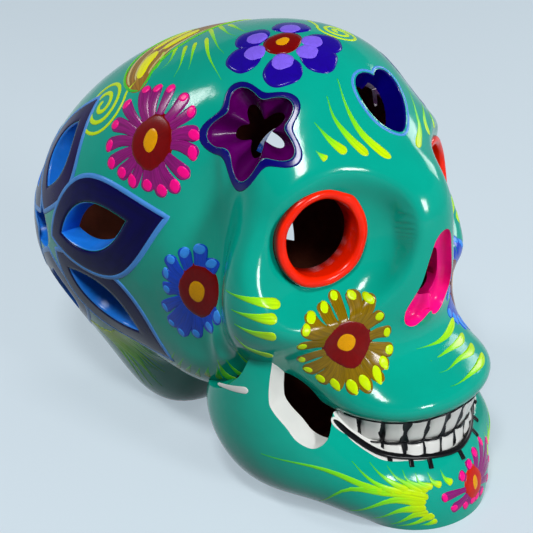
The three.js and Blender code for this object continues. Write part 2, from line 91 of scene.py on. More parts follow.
class SkullColours(bpy.types.PropertyGroup):
    """Colours of the glazes, the enamels and the clay"""

    body: colour("Body", "#00A38E", "Glaze over the cranium and the jaw")
    clay: colour("Clay", "#7C3E2A", "Bare clay inside")
    slip: colour("White", "#DEDFDC", "Teeth, and the white glaze about the jaw's openings")
    collar: colour("Collar rim", "#FF2300", "Rolled rim of the eye collars")
    # The outer side's dark red is painted shade, where the collar stands down in the eye's dish
    collar_side_shade: colour("Collar side in shade", "#7C1400", "Outer side of the eye collars")
    nose: colour("Nose", "#FF0F8C", "The pressed pear of the nose")
    star: colour("Star", "#5A005E", "Slanted wall of the stars")
    navy: colour("Navy", "#06006E", "The heart's wall and the star's border")
    leaf_wall: colour("Leaf wall", "#1E82F0", "Walls of the openings in the back flowers")
    field: colour("Back petal", "#05004A", "Ground of the back flowers' petals")
    field_top: colour("Upper back petal", "#1A004E", "Ground of the back flowers' upper petals")
    sky: colour("Sky line", "#4E96E6", "Outlines of the back flowers and the heart")
    oxblood: colour("Flower middle", "#780000", "Discs of the daisies and of the top flower")
    amber: colour("Flower heart", "#E6A000", "Spots in the middle of the discs")
    magenta: colour("Temple petal", "#96147C", "Petals of the daisies behind the stars")
    rose: colour("Temple petal tip", "#FF0A8C", "Dabs on the tips of these petals")
    olive: colour("Olive petal", "#8C6E00", "Petals of the right cheek's daisy")
    citrus: colour("Olive petal tip", "#CDF000", "Dabs on the tips of these petals, and the spirals")
    cobalt: colour("Blue petal", "#0046D2", "Petals of the right temple's daisy")
    azure: colour("Blue petal tip", "#3C96FA", "Dabs on the tips of these petals")
    indigo: colour("Top petal", "#1C0096", "Petals of the flower on the crown")
    lavender: colour("Top petal dab", "#8262F0", "Dabs at the roots of these petals")
    ember: colour("Chin middle", "#C8200E", "Disc of the flower on the chin")
    fern: colour("Stroke root", "#28C828", "Thin end of the green brush strokes")
    lime: colour("Stroke", "#8CF01E", "Middle of the green brush strokes")
    lemon: colour("Stroke toe", "#C8F500", "Thick end of the green brush strokes")
    # The strokes under the temples' rims end in this darker green: painted shade where the rim shades them
    stroke_in_shade: colour("Shaded stroke", "#96A800", "Thick end of the strokes under the rim")
    ochre: colour("Crest leaf", "#A8781E", "Ground of the leaf on the crest")
    straw: colour("Crest vein", "#DCC882", "Light veins of the leaf on the crest")
    yellow: colour("Yellow", "#F5F500", "Blotches on the leaf on the crest")
    black: colour("Black", "#0C0C10", "Lines between and about the teeth")


def mm(name):
    """One of the panel's lengths, in millimetres"""
    return getattr(bpy.context.scene.skull_sizes, name) * 1000


# The clay: what the forms are made of

# An egg's place, its half sizes, its tilt and yaw in degrees, and the fillet by which it joins the rest
Egg = namedtuple("Egg", "aside ahead up half_width half_length half_height tilt yaw fillet")
# The middle that rays leave, how much closer together they are towards the face, and the eggs of clay that
# are added and pressed in
Form = namedtuple("Form", "centre face_share added pressed")
# A place on a form's skin, the way the clay faces there, and the directions up and aside over it
Seat = namedtuple("Seat", "form place facing up aside")

CRANIUM = Form(
    centre=np.array((0.0, 8.0, 72.0)),
    face_share=0.45,
    added=(
        Egg(0, -26, 83.5, 52, 76, 48.5, 35.5, 0, 1),  # vault
        Egg(0, -37, 41, 31.5, 27, 46, 0, 0, 20),  # neck
        Egg(0, 21, 102.5, 32.5, 31, 36, 0, 0, 25),  # forehead
        Egg(17, 39, 105, 20, 14.5, 10, 0, 0, 16),  # brow
        Egg(29.5, -1.5, 63, 16.5, 35, 33.5, 0, 0, 12),  # temporal
        Egg(37, 31.5, 76, 15, 23, 19.5, 0, 0, 18),  # cheek
        Egg(0, 43, 76.5, 20.5, 27.5, 19.5, 0, 0, 24),  # upper jaw
        Egg(13, 42, 53, 16, 17, 16, 0, 0, 20),  # maxilla
        Egg(0, 61.5, 43, 29.5, 23, 9.5, 1, 0, 16),  # muzzle
        Egg(0, 54.5, 97.5, 12, 15.5, 17, -18, 0, 14),  # nose bridge
    ),
    pressed=(
        Egg(60, 17.5, 89.5, 19.5, 6, 34, 0, 0, 14),  # temple hollow
        Egg(43.5, 57, 92, 19.5, 17.5, 21.5, 0, 24, 6),  # eye hollow
        Egg(31, 56, 96, 22, 13, 22, 0, 22, 5),  # eye dish
    ),
)
JAW = Form(
    centre=np.array((0.0, 46.0, 24.0)),
    face_share=0.2,
    added=(
        Egg(0, 72, 3.5, 18.5, 15.5, 21.5, 0, 0, 1),  # chin
        Egg(26, 37.5, 22, 15, 35.5, 17, -12, 0, 26),  # jaw body
        Egg(33, 30, 40, 11, 16.5, 26.5, 0, 0, 22),  # ramus
        Egg(0, 40, 24, 26, 30, 26, 0, 0, 10),  # mouth floor
    ),
    pressed=(),
)
SIDES = {"right": -1.0, "left": 1.0}
CRANIUM_WALL = 6.5
ZERO_LINE_AHEAD = 3.1  # how far the zero line is ahead of the frame's middle
MIDDLE_SOFTNESS = 6.0  # how softly an egg runs into its mirror image at the middle
FAR_REACH = 130.0  # how far out rays start, which is outside every form
SLOPE_STEP = 0.4


def egg_distance(egg, x, ahead, up):
    """Nearly the distance from places to an egg: k(k-1) over the length of the gradient of k squared,
    where k is how many times the egg's own size a place is out."""
    yaw, tilt = np.radians(egg.yaw), np.radians(egg.tilt)
    off_x, off_ahead, off_up = x - egg.aside, ahead - egg.ahead, up - egg.up
    across = off_x * np.cos(yaw) - off_ahead * np.sin(yaw)
    outward = off_x * np.sin(yaw) + off_ahead * np.cos(yaw)
    along = outward * np.cos(tilt) + off_up * np.sin(tilt)
    above = off_up * np.cos(tilt) - outward * np.sin(tilt)
    shares = np.stack([across / egg.half_width, along / egg.half_length, above / egg.half_height])
    sizes = np.array([egg.half_width, egg.half_length, egg.half_height])
    reach = np.sqrt((shares**2).sum(0))
    slope = np.sqrt(((shares / sizes.reshape(3, *[1] * across.ndim)) ** 2).sum(0))
    return reach * (reach - 1) / np.maximum(slope, 1e-9)


def smoothed(a, b, fillet):
    """The smaller of two distances, with a quarter of the fillet taken off where they are alike"""
    near = np.maximum(fillet - np.abs(a - b), 0) / fillet
    return np.minimum(a, b) - near * near * fillet / 4


def clay_distance(form, places):
    """Nearly the distance from places to a whole form, negative inside it. An egg that stands off the
    middle is there on both sides."""
    x, ahead, up = places[..., 0], places[..., 1], places[..., 2]
    aside = np.hypot(x, MIDDLE_SOFTNESS)

    def off_egg(egg):
        return egg_distance(egg, aside if egg.aside else x, ahead, up)

    distance = off_egg(form.added[0])
    for egg in form.added[1:]:
        distance = smoothed(distance, off_egg(egg), egg.fillet)
    for egg in form.pressed:
        distance = -smoothed(-distance, off_egg(egg), egg.fillet)
    return distance


def on_clay(form, directions, reach, depth, rounds, stride):
    """Places at a depth under the skin along rays from the form's centre: each round moves a place along
    its ray by most of its distance to the skin, but by no more than a stride."""
    for _ in range(rounds):
        distance = clay_distance(form, form.centre + directions * reach[..., None]) + depth
        reach = reach - np.clip(0.85 * distance, -stride, stride)
    return form.centre + directions * reach[..., None]


def facing_at(form, places):
    """The way the clay faces: the slope of the distance, by small steps"""
    steps = np.eye(3) * SLOPE_STEP
    rises = [clay_distance(form, places + step) - clay_distance(form, places - step) for step in steps]
    slope = np.stack(rises, -1)
    return slope / np.linalg.norm(slope, axis=-1, keepdims=True)


def draped(form, places):
    """Places carried along their rays from the form's centre onto the skin, and the way it faces there"""
    offsets = places - form.centre
    reach = np.linalg.norm(offsets, axis=-1)
    landed = on_clay(form, offsets / reach[..., None], reach, depth=0.0, rounds=16, stride=6.0)
    return landed, facing_at(form, landed)


def unit(vectors):
    """Vectors made one long"""
    return vectors / np.maximum(np.linalg.norm(vectors, axis=-1, keepdims=True), 1e-9)


def seat_towards(form, place, towards):
    """A place on the skin whose up is a given direction, laid along the clay"""
    landed, facing = draped(form, np.array(place, float))
    towards = np.array(towards, float)
    up = unit(towards - facing * (towards @ facing))
    return Seat(form, landed, facing, up, np.cross(facing, up))


def mirrored(seat, side):
    """A seat of the left side, or its mirror image on the right"""
    return Seat(seat.form, *(vector * np.array((side, 1.0, 1.0)) for vector in seat[1:]))


def seat_on(form, place, lean=0.0, side=1.0):
    """A seat turned clockwise from upright by a lean, as seen from outside on the left. On the right the
    whole seat is mirrored."""
    seat = seat_towards(form, place, (0, 0, 1))
    turn = np.radians(lean)
    up = seat.up * np.cos(turn) + seat.aside * np.sin(turn)
    return mirrored(seat._replace(up=up, aside=np.cross(seat.facing, up)), side)


def crown_seat(place):
    """A seat on the crown, whose up is ahead and whose aside is to the right"""
    return seat_towards(CRANIUM, place, (0, 1, 0))


def from_seat(seat, across, along):
    """Places on the flat square to a seat"""
    return seat.place + seat.aside * across[..., None] + seat.up * along[..., None]


# Meshes: rings of places joined into closed surfaces

# A closed mesh: its places, its faces with four and with three corners, what the finishes read at each
# place, and which of its piece's finishes it has: none is the first
Part = namedtuple("Part", "places quads corners brush finish")
ASIDE, AHEAD, UP = range(3)


def brush_shares(count, spokes, along=0.0, across=0.0, serial=0.0):
    """For each place of a grid of rings: its share along a brush mark, its share across it and the
    mark's number, which the finishes read for their colours and streaks"""
    shares = np.empty((count, spokes, 3))
    shares[..., 0] = np.reshape(along, (-1, 1))
    shares[..., 1] = np.reshape(across, (1, -1))
    shares[..., 2] = serial
    return shares


def ring_quads(near, far):
    """Faces between rings of numbered places and the rings that follow them"""
    return np.stack([near, far, np.roll(far, -1, 1), np.roll(near, -1, 1)], -1).reshape(-1, 4)


def tube_part(rings, finish=None, brush=None):
    """Rings of places joined in a row and closed at both ends with a pole at the end ring's middle"""
    count, spokes = rings.shape[:2]
    brush = brush_shares(count, spokes) if brush is None else brush
    places, shares = (
        np.concatenate([grid.reshape(-1, 3), grid[0].mean(0)[None], grid[-1].mean(0)[None]])
        for grid in (rings, brush)
    )
    numbers = np.arange(count * spokes).reshape(count, spokes)
    first, last = numbers[0], numbers[-1]
    pole = np.full(spokes, count * spokes)
    corners = np.concatenate([
        np.stack([pole, first, np.roll(first, -1)], -1),
        np.stack([pole + 1, np.roll(last, -1), last], -1),
    ])
    return outward(Part(places, ring_quads(numbers[:-1], numbers[1:]), corners, shares, finish))


def loop_part(rings, brush, finish=None):
    """Rings of places joined in a row whose last ring is joined to its first"""
    count, spokes = rings.shape[:2]
    numbers = np.arange(count * spokes).reshape(count, spokes)
    quads = ring_quads(numbers, np.roll(numbers, -1, 0))
    return outward(Part(rings.reshape(-1, 3), quads, np.zeros((0, 3), int), brush.reshape(-1, 3), finish))


def outward(part):
    """The part with its faces turned outwards: its volume, summed over its faces, is made positive. Places
    count ahead where Blender counts back, so the sum's sign is turned round."""
    faces = np.concatenate([part.corners, part.quads[:, :3], part.quads[:, [0, 2, 3]]])
    a, b, c = (part.places[faces[:, i]] for i in range(3))
    if np.einsum("ij,ij->", a, np.cross(b, c)) > 0:
        return part._replace(quads=part.quads[:, ::-1], corners=part.corners[:, ::-1])
    return part


def piece(name, parts, finishes, stands_for=()):
    """Puts parts into one Blender mesh, in metres and in the CAD's frame, and lets it ride on the skull"""
    if not parts:
        raise RuntimeError(f"{name} has no parts")
    starts = np.cumsum([0] + [len(part.places) for part in parts])
    faces, slots = [], []
    for start, part in zip(starts, parts):
        faces += (part.quads + start).tolist() + (part.corners + start).tolist()
        number = finishes.index(part.finish) if part.finish else 0
        slots += [number] * (len(part.quads) + len(part.corners))
    mesh = bpy.data.meshes.new(name)
    mesh.from_pydata(to_frame(np.concatenate([part.places for part in parts])), [], faces)
    for key in finishes:
        mesh.materials.append(finished(key))
    mesh.polygons.foreach_set("material_index", slots)
    brush = np.concatenate([part.brush for part in parts])
    mesh.attributes.new("brush", "FLOAT_VECTOR", "POINT").data.foreach_set("vector", brush.reshape(-1))
    mesh.shade_smooth()
    made = bpy.data.objects.new(name, mesh)
    bpy.context.scene.collection.objects.link(made)
    if stands_for:
        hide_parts(*stands_for)
    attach(made, "root")
    return made


def to_frame(places):
    """Places counted ahead from the zero line to metres in the CAD's frame"""
    x, ahead, up = places[..., 0], places[..., 1], places[..., 2]
    return np.stack([x, -(ahead + ZERO_LINE_AHEAD), up], -1) / 1000


def skin_part(form, depth, spokes, rings, finish=None):
    """A ball of directions whose poles are fore and aft, seen from behind its middle so that they lie
    closer together towards the face, each carried to a depth below the clay's face"""
    polar = np.linspace(0, np.pi, rings + 2)[1:-1, None]
    turn = np.linspace(0, 2 * np.pi, spokes, endpoint=False)[None, :]
    directions = np.stack([
        np.sin(polar) * np.sin(turn),
        np.cos(polar) + form.face_share + 0 * turn,
        np.sin(polar) * np.cos(turn),
    ], -1)
    poles = np.array([[0.0, 1.0 + form.face_share, 0.0], [0.0, form.face_share - 1.0, 0.0]])
    places, ends = (
        on_clay(form, unit(rays), np.full(rays.shape[:-1], FAR_REACH), depth, rounds=44, stride=20.0)
        for rays in (directions, poles)
    )
    part = tube_part(places, finish)
    part.places[-2:] = ends
    return part


def carried_part(outline, axis, start, end, finish=None, steps=4):
    """A flat outline carried straight along an axis from a start to an end. Its two numbers are the places
    on the other two axes."""
    outline = np.array(outline, float)
    rings = [np.insert(outline, axis, reach, axis=1) for reach in np.linspace(start, end, steps)]
    return tube_part(np.array(rings), finish)


def shaft_part(ahead, half_width, half_length, top):
    """An upright oval shaft from under the table to its top"""
    turn = np.linspace(0, 2 * np.pi, 48, endpoint=False)
    oval = np.stack([half_width * np.cos(turn), ahead + half_length * np.sin(turn)], -1)
    return carried_part(oval, UP, -30, top, "clay")


def slab_part(top):
    """A slab wider than the skull, from well under the table to its top"""
    low, left, right = -60, -150, 150
    corners = ((left, low), (right, low), (right, top), (left, top))
    return carried_part(corners, AHEAD, left, right, "clay", 3)


def scaled_outline(outline, spread):
    """An outline moved out from its middle by a spread, and in by no more than three quarters"""
    radius = np.linalg.norm(outline, axis=-1, keepdims=True)
    return outline * np.maximum(radius + spread, radius * 0.25) / radius


# A cutter through the wall: the angles at which its lip is stepped, how much wider it is outside the clay,
# how high its rings are there, and how far in past the lip the rest of them lie
LIP_TURNS = np.radians((34.0, 48.0, 62.0, 76.0, 90.0))
OUTSIDE_SPREAD = 1.6
OUTSIDE_HEIGHTS = (9.0, 1.4)
CUT_STEPS = np.linspace(0.8, 12.0, 6)


def cutter_part(seat, outline, slant, finish):
    """A cutter through the wall: the outline is carried in along the seat's facing, first round a quarter
    circle of the lip's radius and then with its slant"""
    lip = mm("lip")
    first = LIP_TURNS[0]
    rise = lip * (1 - np.cos(first))
    steps = [(lip * (1 - np.sin(first)) + OUTSIDE_SPREAD, height) for height in OUTSIDE_HEIGHTS]
    steps += [(lip * (1 - np.sin(turn)), -lip * (1 - np.cos(turn)) + rise) for turn in LIP_TURNS]
    steps += [(-slant * step, -lip - step) for step in CUT_STEPS]
    rings = []
    for spread, height in steps:
        landed, _ = draped(seat.form, from_seat(seat, *scaled_outline(outline, spread).T))
        rings.append(landed + seat.facing * height)
    return tube_part(np.array(rings), finish)


def cut(made, parts, finishes, name):
    """Cuts closed parts out of a piece, whose cut faces take the parts' finishes"""
    cut_by(made, piece(name, parts, finishes))


def cut_by(made, tool):
    """Cuts a tool out of a piece and throws the tool away"""
    modifier = made.modifiers.new("Cut", "BOOLEAN")
    modifier.object = tool
    modifier.operation = "DIFFERENCE"
    modifier.solver = "MANIFOLD"
    modifier.material_mode = "TRANSFER"
    evaluated = made.evaluated_get(bpy.context.evaluated_depsgraph_get())
    mesh = bpy.data.meshes.new_from_object(evaluated)
    if not len(mesh.polygons):
        raise RuntimeError(f"cutting {tool.name} out of {made.name} left nothing")
    made.modifiers.clear()
    made.data = mesh
    bpy.data.objects.remove(tool)


# Outlines of what is cut through the wall

def heart_outline(half_width, height, dip, count=96):
    """A heart: two cubic arcs from the dip round a lobe to the point, mirrored, evenly stepped"""
    side, top = half_width, height / 2
    arcs = (
        ((0, top - dip), (side / 4, top), (side, top), (side, top / 3)),
        ((side, top / 3), (side, -top / 3), (side / 3, -top), (0, -top)),
    )
    t = np.linspace(0, 1, count // 4, endpoint=False)[:, None]
    weights = ((1 - t) ** 3, 3 * t * (1 - t) ** 2, 3 * t**2 * (1 - t), t**3)
    half = np.concatenate([sum(w * np.array(p, float) for w, p in zip(weights, arc)) for arc in arcs])
    return np.concatenate([half, [[0, -top]], half[:0:-1] * (-1, 1)])


def star_outline(points, tip, valley, count=100):
    """A star with round points: its radius swings as the cosine of the angle times the points"""
    angle = np.linspace(0, 2 * np.pi, count, endpoint=False)
    radius = (tip + valley) / 2 + (tip - valley) / 2 * np.cos(points * angle)
    return np.stack([radius * np.sin(angle), radius * np.cos(angle)], -1)


def leaf_outline(length, half_width, count=64):
    """A leaf, pointed at both ends: a parabola each side"""
    t = np.linspace(-1, 1, count // 2, endpoint=False)
    right = np.stack([half_width * (1 - t**2), t * length / 2], -1)
    left = np.stack([-half_width * (1 - t**2), -t * length / 2], -1)
    return np.concatenate([right, left])


def round_outline(radius, count=48):
    """A circle"""
    angle = np.linspace(0, 2 * np.pi, count, endpoint=False)
    return np.stack([radius * np.sin(angle), radius * np.cos(angle)], -1)


def smooth_through(points, count, closed=False):
    """A smooth line through points: cubic arcs whose slope at each point is half the step between its
    neighbours, as a whole array"""
    points = np.array(points, float)
    if closed:
        padded = np.concatenate([points[-1:], points, points[:2]])
        t = np.linspace(0, len(points), count, endpoint=False)
    else:
        padded = np.concatenate([2 * points[:1] - points[1:2], points, 2 * points[-1:] - points[-2:-1]])
        t = np.linspace(0, len(points) - 1, count)
    k = np.minimum(t.astype(int), len(padded) - 4)
    f = (t - k)[:, None]
    p0, p1, p2, p3 = (padded[k + i] for i in range(4))
    return 0.5 * (
        2 * p1 + (p2 - p0) * f + (2 * p0 - 5 * p1 + 4 * p2 - p3) * f**2 + (3 * p1 - p0 - 3 * p2 + p3) * f**3
    )


def oval_outline(half_width, half_height, waver, points=3, phase=0.0, count=48):
    """An oval whose radius wavers a little, as a hand paints it"""
    angle = np.linspace(0, 2 * np.pi, count, endpoint=False)
    radius = 1 + waver * np.sin(points * angle + phase) + waver / 2 * np.sin((points + 2) * angle)
    return np.stack([half_width * radius * np.sin(angle), half_height * radius * np.cos(angle)], -1)


def petal_outline(low, high, half_width, count=96):
    """A broad petal, pointed at both ends: its half width is the sine of its share of the length, a fifth
    more near the root"""
    share = np.linspace(0, 1, count // 2, endpoint=False)
    back = 1 - share
    right, left = (half_width * np.sin(np.pi * s) * (1 + 0.2 * (1 - 2 * s)) for s in (share, back))
    heights = low + (high - low) * np.concatenate([share, back])
    return np.stack([np.concatenate([right, -left]), heights], -1)


# Paint: marks and patches laid on the clay

# How a mark widens: its width at the heel and toe as shares of the full width, and the shares of its
# length over which each end is rounded off
Brush = namedtuple("Brush", "heel toe heel_round toe_round")
THIN_TO_BLUNT = Brush(0.1, 1.0, 0.0, 0.12)
EVEN = Brush(1.0, 1.0, 0.03, 0.03)
SINK = 0.3  # how deep the underside of the paint lies in the glaze
FULL_HALF_WIDTH = 0.5  # a mark narrower than this lies flatter


def brush_widths(brush, steps):
    """Half widths along a mark, as shares: they ease from the heel's to the toe's, and each rounded end is
    part of a circle"""
    along = (1 - np.cos(np.linspace(0, np.pi, steps))) / 2
    width = brush.heel + (brush.toe - brush.heel) * (along * along * (3 - 2 * along))
    for distance, share in ((along, brush.heel_round), (1 - along, brush.toe_round)):
        if share:
            width = width * np.sqrt(1 - (1 - np.clip(distance / share, 0, 1)) ** 2)
    return along, width


def line_at(points, shares):
    """A smooth line through points, read at shares of its length"""
    line = smooth_through(points, 160)
    reach = np.concatenate([[0], np.cumsum(np.linalg.norm(np.diff(line, axis=0), axis=1))])
    return np.stack([np.interp(shares * reach[-1], reach, line[:, i]) for i in range(3)], -1)


def mark_parts(form, lines, half_widths, brush, crown=1.0, finish=None, steps=20, around=12):
    """Brush marks: each is a tube with a lens-shaped section, carried along its line on the clay, its top
    raised to the paint's thickness times its crown and its underside sunk"""
    along, width = brush_widths(brush, steps)
    middle, facing = draped(form, np.array([line_at(line, along) for line in lines]))
    ahead = unit(np.gradient(middle, axis=1))
    across = unit(np.cross(facing, ahead))
    turn = np.linspace(0, 2 * np.pi, around, endpoint=False)
    widths = np.maximum(np.array(half_widths, float).reshape(-1, 1) * width, 0.02)
    places = middle[:, :, None] + across[:, :, None] * (widths[..., None] * np.cos(turn))[..., None]
    landed, facing = draped(form, places)
    full = np.minimum(widths / FULL_HALF_WIDTH, 1)[..., None]
    top = mm("paint") * crown * np.sqrt(np.maximum(np.sin(turn), 0))
    rise = full * top - SINK * np.maximum(-np.sin(turn), 0)
    rings = landed + facing * rise[..., None]
    return [
        tube_part(ring, finish, brush_shares(steps, around, along, np.cos(turn), serial))
        for serial, ring in enumerate(rings)
    ]


def ribbon_part(form, line, half_width, crown, finish=None, around=10):
    """A closed painted line: a lens-shaped section carried round a closed line on the clay"""
    middle, facing = draped(form, line)
    ahead = unit(np.roll(middle, -1, 0) - np.roll(middle, 1, 0))
    across = unit(np.cross(facing, ahead))
    turn = np.linspace(0, 2 * np.pi, around, endpoint=False)
    places = middle[:, None] + across[:, None] * (half_width * np.cos(turn))[None, :, None]
    landed, facing = draped(form, places)
    rise = np.where(np.sin(turn) > 0, mm("paint") * crown * np.sin(turn), SINK * np.sin(turn))
    brush = brush_shares(len(line), around, 8 * np.sin(np.linspace(0, np.pi, len(line))), np.cos(turn))
    return loop_part(landed + facing * rise[None, :, None], brush, finish)


def field_part(form, inner, outer, crown, finish=None, across=9):
    """A painted field between two closed lines: places step from the inner one to the outer on top and
    back underneath"""
    share = np.linspace(0, 1, across)
    edge = np.sqrt(1 - (2 * share - 1) ** 8)
    share = np.concatenate([share, share[-2:0:-1]])
    rise = np.concatenate([mm("paint") * crown * edge, np.full(across - 2, -SINK)])
    places = inner[:, None] + (outer - inner)[:, None] * share[None, :, None]
    landed, facing = draped(form, places)
    brush = brush_shares(len(inner), len(share), 6 * np.sin(np.linspace(0, np.pi, len(inner))), share)
    return loop_part(landed + facing * rise[None, :, None], brush, finish)


def disc_part(seat, outline, middle, crown, finish, rings=6):
    """A painted patch inside an outline about a place of a seat: rings from its middle out, domed on top
    and sunk below"""
    share = np.linspace(0.06, 1, rings)
    shares = np.concatenate([share, share[::-1]])
    rise = np.concatenate([mm("paint") * crown * np.sqrt(1 - share**6), np.full(rings, -SINK)])
    places = [from_seat(seat, middle[0] + outline[:, 0] * s, middle[1] + outline[:, 1] * s) for s in shares]
    landed, facing = draped(seat.form, np.array(places))
    brush = brush_shares(2 * rings, len(outline), shares, np.sin(np.linspace(0, 2 * np.pi, len(outline))))
    return tube_part(landed + facing * rise[:, None, None], finish, brush)


def on_chart(seat, angles, radii):
    """Places on a seat's flat at angles from its top towards the face and at radii"""
    angles = np.radians(angles)
    return from_seat(seat, -radii * np.sin(angles), radii * np.cos(angles))


# A flower's chart: the half sizes of its disc and of the spot on it, its petals' half widths at heel and
# toe, the dabs' half width, where the petals start, and each petal's angle and length from the middle
Flower = namedtuple("Flower", "disc spot heel toe dab root petals")


def daisy_parts(seat, flower, finishes):
    """A daisy: a petal is one stroke from under the disc out to its tip, with a dab on the tip. The disc
    and its spot lie on the petals' roots. A petal bends aside by up to 4 degrees, and petals differ by up
    to 9% in width."""
    petal, dab, disc, spot = finishes
    angles, tips = np.array(flower.petals, float).T
    shares = np.array((0.0, 0.5, 1.0))
    radii = flower.root + (tips - flower.root)[:, None] * shares
    bend = 4.0 * np.sin(np.radians(3 * angles + 40))[:, None] * np.sin(np.pi * shares)
    lines = on_chart(seat, angles[:, None] + bend, radii)
    wavers = 1 + 0.09 * np.sin(np.radians(7 * angles))
    brush = Brush(flower.heel / flower.toe, 1.0, 0.0, 0.22)
    parts = mark_parts(seat.form, lines, flower.toe * wavers, brush, 1.0, petal)
    for angle, tip, waver in zip(np.radians(angles), tips, wavers):
        reach = tip - flower.dab * 1.02
        outline = oval_outline(flower.dab * waver, flower.dab * (2.05 - waver), 0.05, 2, 9 * angle, 20)
        parts.append(disc_part(seat, outline, (-reach * np.sin(angle), reach * np.cos(angle)), 2.0, dab, 4))
    parts.append(disc_part(seat, oval_outline(*flower.disc, 0.025, 4, 1.0), (0, 0), 2.4, disc))
    parts.append(disc_part(seat, oval_outline(*flower.spot, 0.04, 2, 0.5, 32), (0.3, 0.2), 3.2, spot))
    return parts


# Finishes: lead glazes and enamels, brushed on and fired to a gloss

def add(tree, kind, settings=(), inputs=()):
    """Adds a node, with its settings, and its inputs filled with values or joined to other nodes' outputs"""
    node = tree.nodes.new(kind)
    for name, value in dict(settings).items():
        setattr(node, name, value)
    for name, value in dict(inputs).items():
        if isinstance(value, bpy.types.NodeSocket):
            tree.links.new(value, node.inputs[name])
        else:
            node.inputs[name].default_value = value
    return node


def shade_of(key):
    """One of the panel's colours, with its alpha"""
    return (*getattr(bpy.context.scene.skull_colours, key), 1.0)


# A finish: its name, its colours at shares of a brush mark, its roughness, its specular level, how much its
# clouds or streaks darken it, and how deep its slow waves and its fine grain are in mm
Finish = namedtuple("Finish", "title stops roughness shine streaks waves grain", defaults=(0.3, 0.0))

# Glazes, thick enamels and bare clay that cover a whole surface: clouds shade them, not bristles
POURED = {
    # Copper oxide in a lead glaze, poured over white slip: clear and wet, with slow ripples that bend the
    # studio lights, and hardly any change of tone
    "teal": Finish("Teal copper glaze", ((0, "body"),), 0.13, 0.22, 0.05, 0.42, 0.03),
    # Earthenware fired without glaze: the inside is dry, brown and grainy and swallows the light
    "clay": Finish("Bare earthenware", ((0, "clay"),), 0.9, 0.18, 0.35, 0.5, 0.2),
    # Tin-whitened glaze, thick and pooled: even and milky, with lazy highlights
    "white": Finish("White tin glaze", ((0, "slip"),), 0.18, 0.22, 0.08, 0.5, 0.0),
    # Red enamel on the rolled collar: bright on the rim, and a dark red down its outer side that is painted
    # shade
    "red": Finish(
        "Red enamel", ((0, "collar"), (0.60, "collar"), (0.72, "collar_side_shade"), (1, "collar_side_shade")),
        0.2, 0.22, 0.2, 0.7, 0.03,
    ),
    # Enamels on the cut walls: brushed thick over raw edges, so they ripple more than the body's glaze
    "nose": Finish("Pink enamel", ((0, "nose"),), 0.22, 0.18, 0.15, 0.7, 0.04),
    "star": Finish("Plum enamel", ((0, "star"),), 0.22, 0.18, 0.35, 0.6, 0.04),
    "navy": Finish("Navy enamel", ((0, "navy"),), 0.18, 0.22, 0.2, 0.5, 0.02),
    "leaf_wall": Finish("Sky blue enamel", ((0, "leaf_wall"),), 0.22, 0.28, 0.2, 1.0, 0.05),
}
# Enamels in one brushed coat: the bristles leave lengthwise streaks of thicker and thinner colour
BRUSHED = {
    # Grounds of the back flowers: dark and flat, with the least shine
    "field": Finish("Midnight enamel", ((0, "field"),), 0.2, 0.08, 0.3),
    "field_top": Finish("Violet enamel", ((0, "field_top"),), 0.2, 0.08, 0.3),
    "sky": Finish("Sky blue line", ((0, "sky"),), 0.3, 0.18, 0.3),
    # Discs and spots, dropped on with a full brush: plump and even
    "oxblood": Finish("Oxblood enamel", ((0, "oxblood"),), 0.25, 0.16, 0.2),
    "ember": Finish("Ember enamel", ((0, "ember"),), 0.25, 0.16, 0.2),
    "amber": Finish("Amber enamel", ((0, "amber"),), 0.25, 0.16, 0.15),
    # Petals, pulled outwards in one stroke: glossy, and streaked from root to tip
    "magenta": Finish("Magenta brush stroke", ((0, "magenta"),), 0.18, 0.22, 0.45),
    "olive": Finish("Olive brush stroke", ((0, "olive"),), 0.18, 0.22, 0.4),
    "cobalt": Finish("Cobalt brush stroke", ((0, "cobalt"),), 0.18, 0.22, 0.35),
    "indigo": Finish("Indigo petal", ((0, "indigo"),), 0.2, 0.18, 0.2),
    # Dabs set on the petals in a lighter colour: thick enough to hide most of the streaks
    "rose": Finish("Rose dab", ((0, "rose"),), 0.25, 0.16, 0.1),
    "citrus": Finish("Citrus dab", ((0, "citrus"),), 0.25, 0.16, 0.12),
    "azure": Finish("Azure dab", ((0, "azure"),), 0.25, 0.16, 0.15),
    "lavender": Finish("Lavender dab", ((0, "lavender"),), 0.3, 0.18, 0.2),
    # Green strokes: thin and dark where the brush lands, thick and yellow where it lifts
    "lime": Finish("Lime brush stroke", ((0, "fern"), (0.4, "lime"), (1, "lemon")), 0.18, 0.22, 0.3),
    "fan": Finish(
        "Green brush stroke", ((0, "fern"), (0.55, "lime"), (0.85, "lemon"), (1, "citrus")), 0.28, 0.22, 0.3
    ),
    # Strokes under the rims: their thick end is darker than the lemon, as painted shade under the rim
    "stroke_in_shade": Finish(
        "Brush stroke in painted shade", ((0, "fern"), (0.5, "fern"), (0.8, "stroke_in_shade"), (1, "stroke_in_shade")), 0.18, 0.22, 0.3
    ),
    # The crest's leaf: a dry brush leaves the most streaks, under lighter veins and blotches
    "ochre": Finish("Ochre brush stroke", ((0, "ochre"),), 0.3, 0.18, 0.5),
    "straw": Finish("Straw brush stroke", ((0, "straw"),), 0.3, 0.18, 0.3),
    "yellow": Finish("Yellow dab", ((0, "yellow"),), 0.3, 0.18, 0.15),
    # A black line run on thickly with a full brush, so it stands up and shines
    "black": Finish("Black enamel line", ((0, "black"),), 0.25, 0.18, 0.2, 0.5, 0.03),
}
# How many clouds, waves and grains a metre holds: they are 11, 18 and 2.4 mm across
CLOUDS, WAVES, GRAINS = 90.0, 55.0, 420.0
# What a mark's shares along and across it and its number are multiplied by, so that streaks are long and
# narrow and differ from mark to mark
STREAKS = (1.6, 4.5, 7.3)

# Finishes are made once and shared by the pieces
made_finishes = {}


def finished(key):
    """The material of that finish, made at its first use"""
    if key not in made_finishes:
        made_finishes[key] = glazed(POURED[key], False) if key in POURED else glazed(BRUSHED[key], True)
    return made_finishes[key]


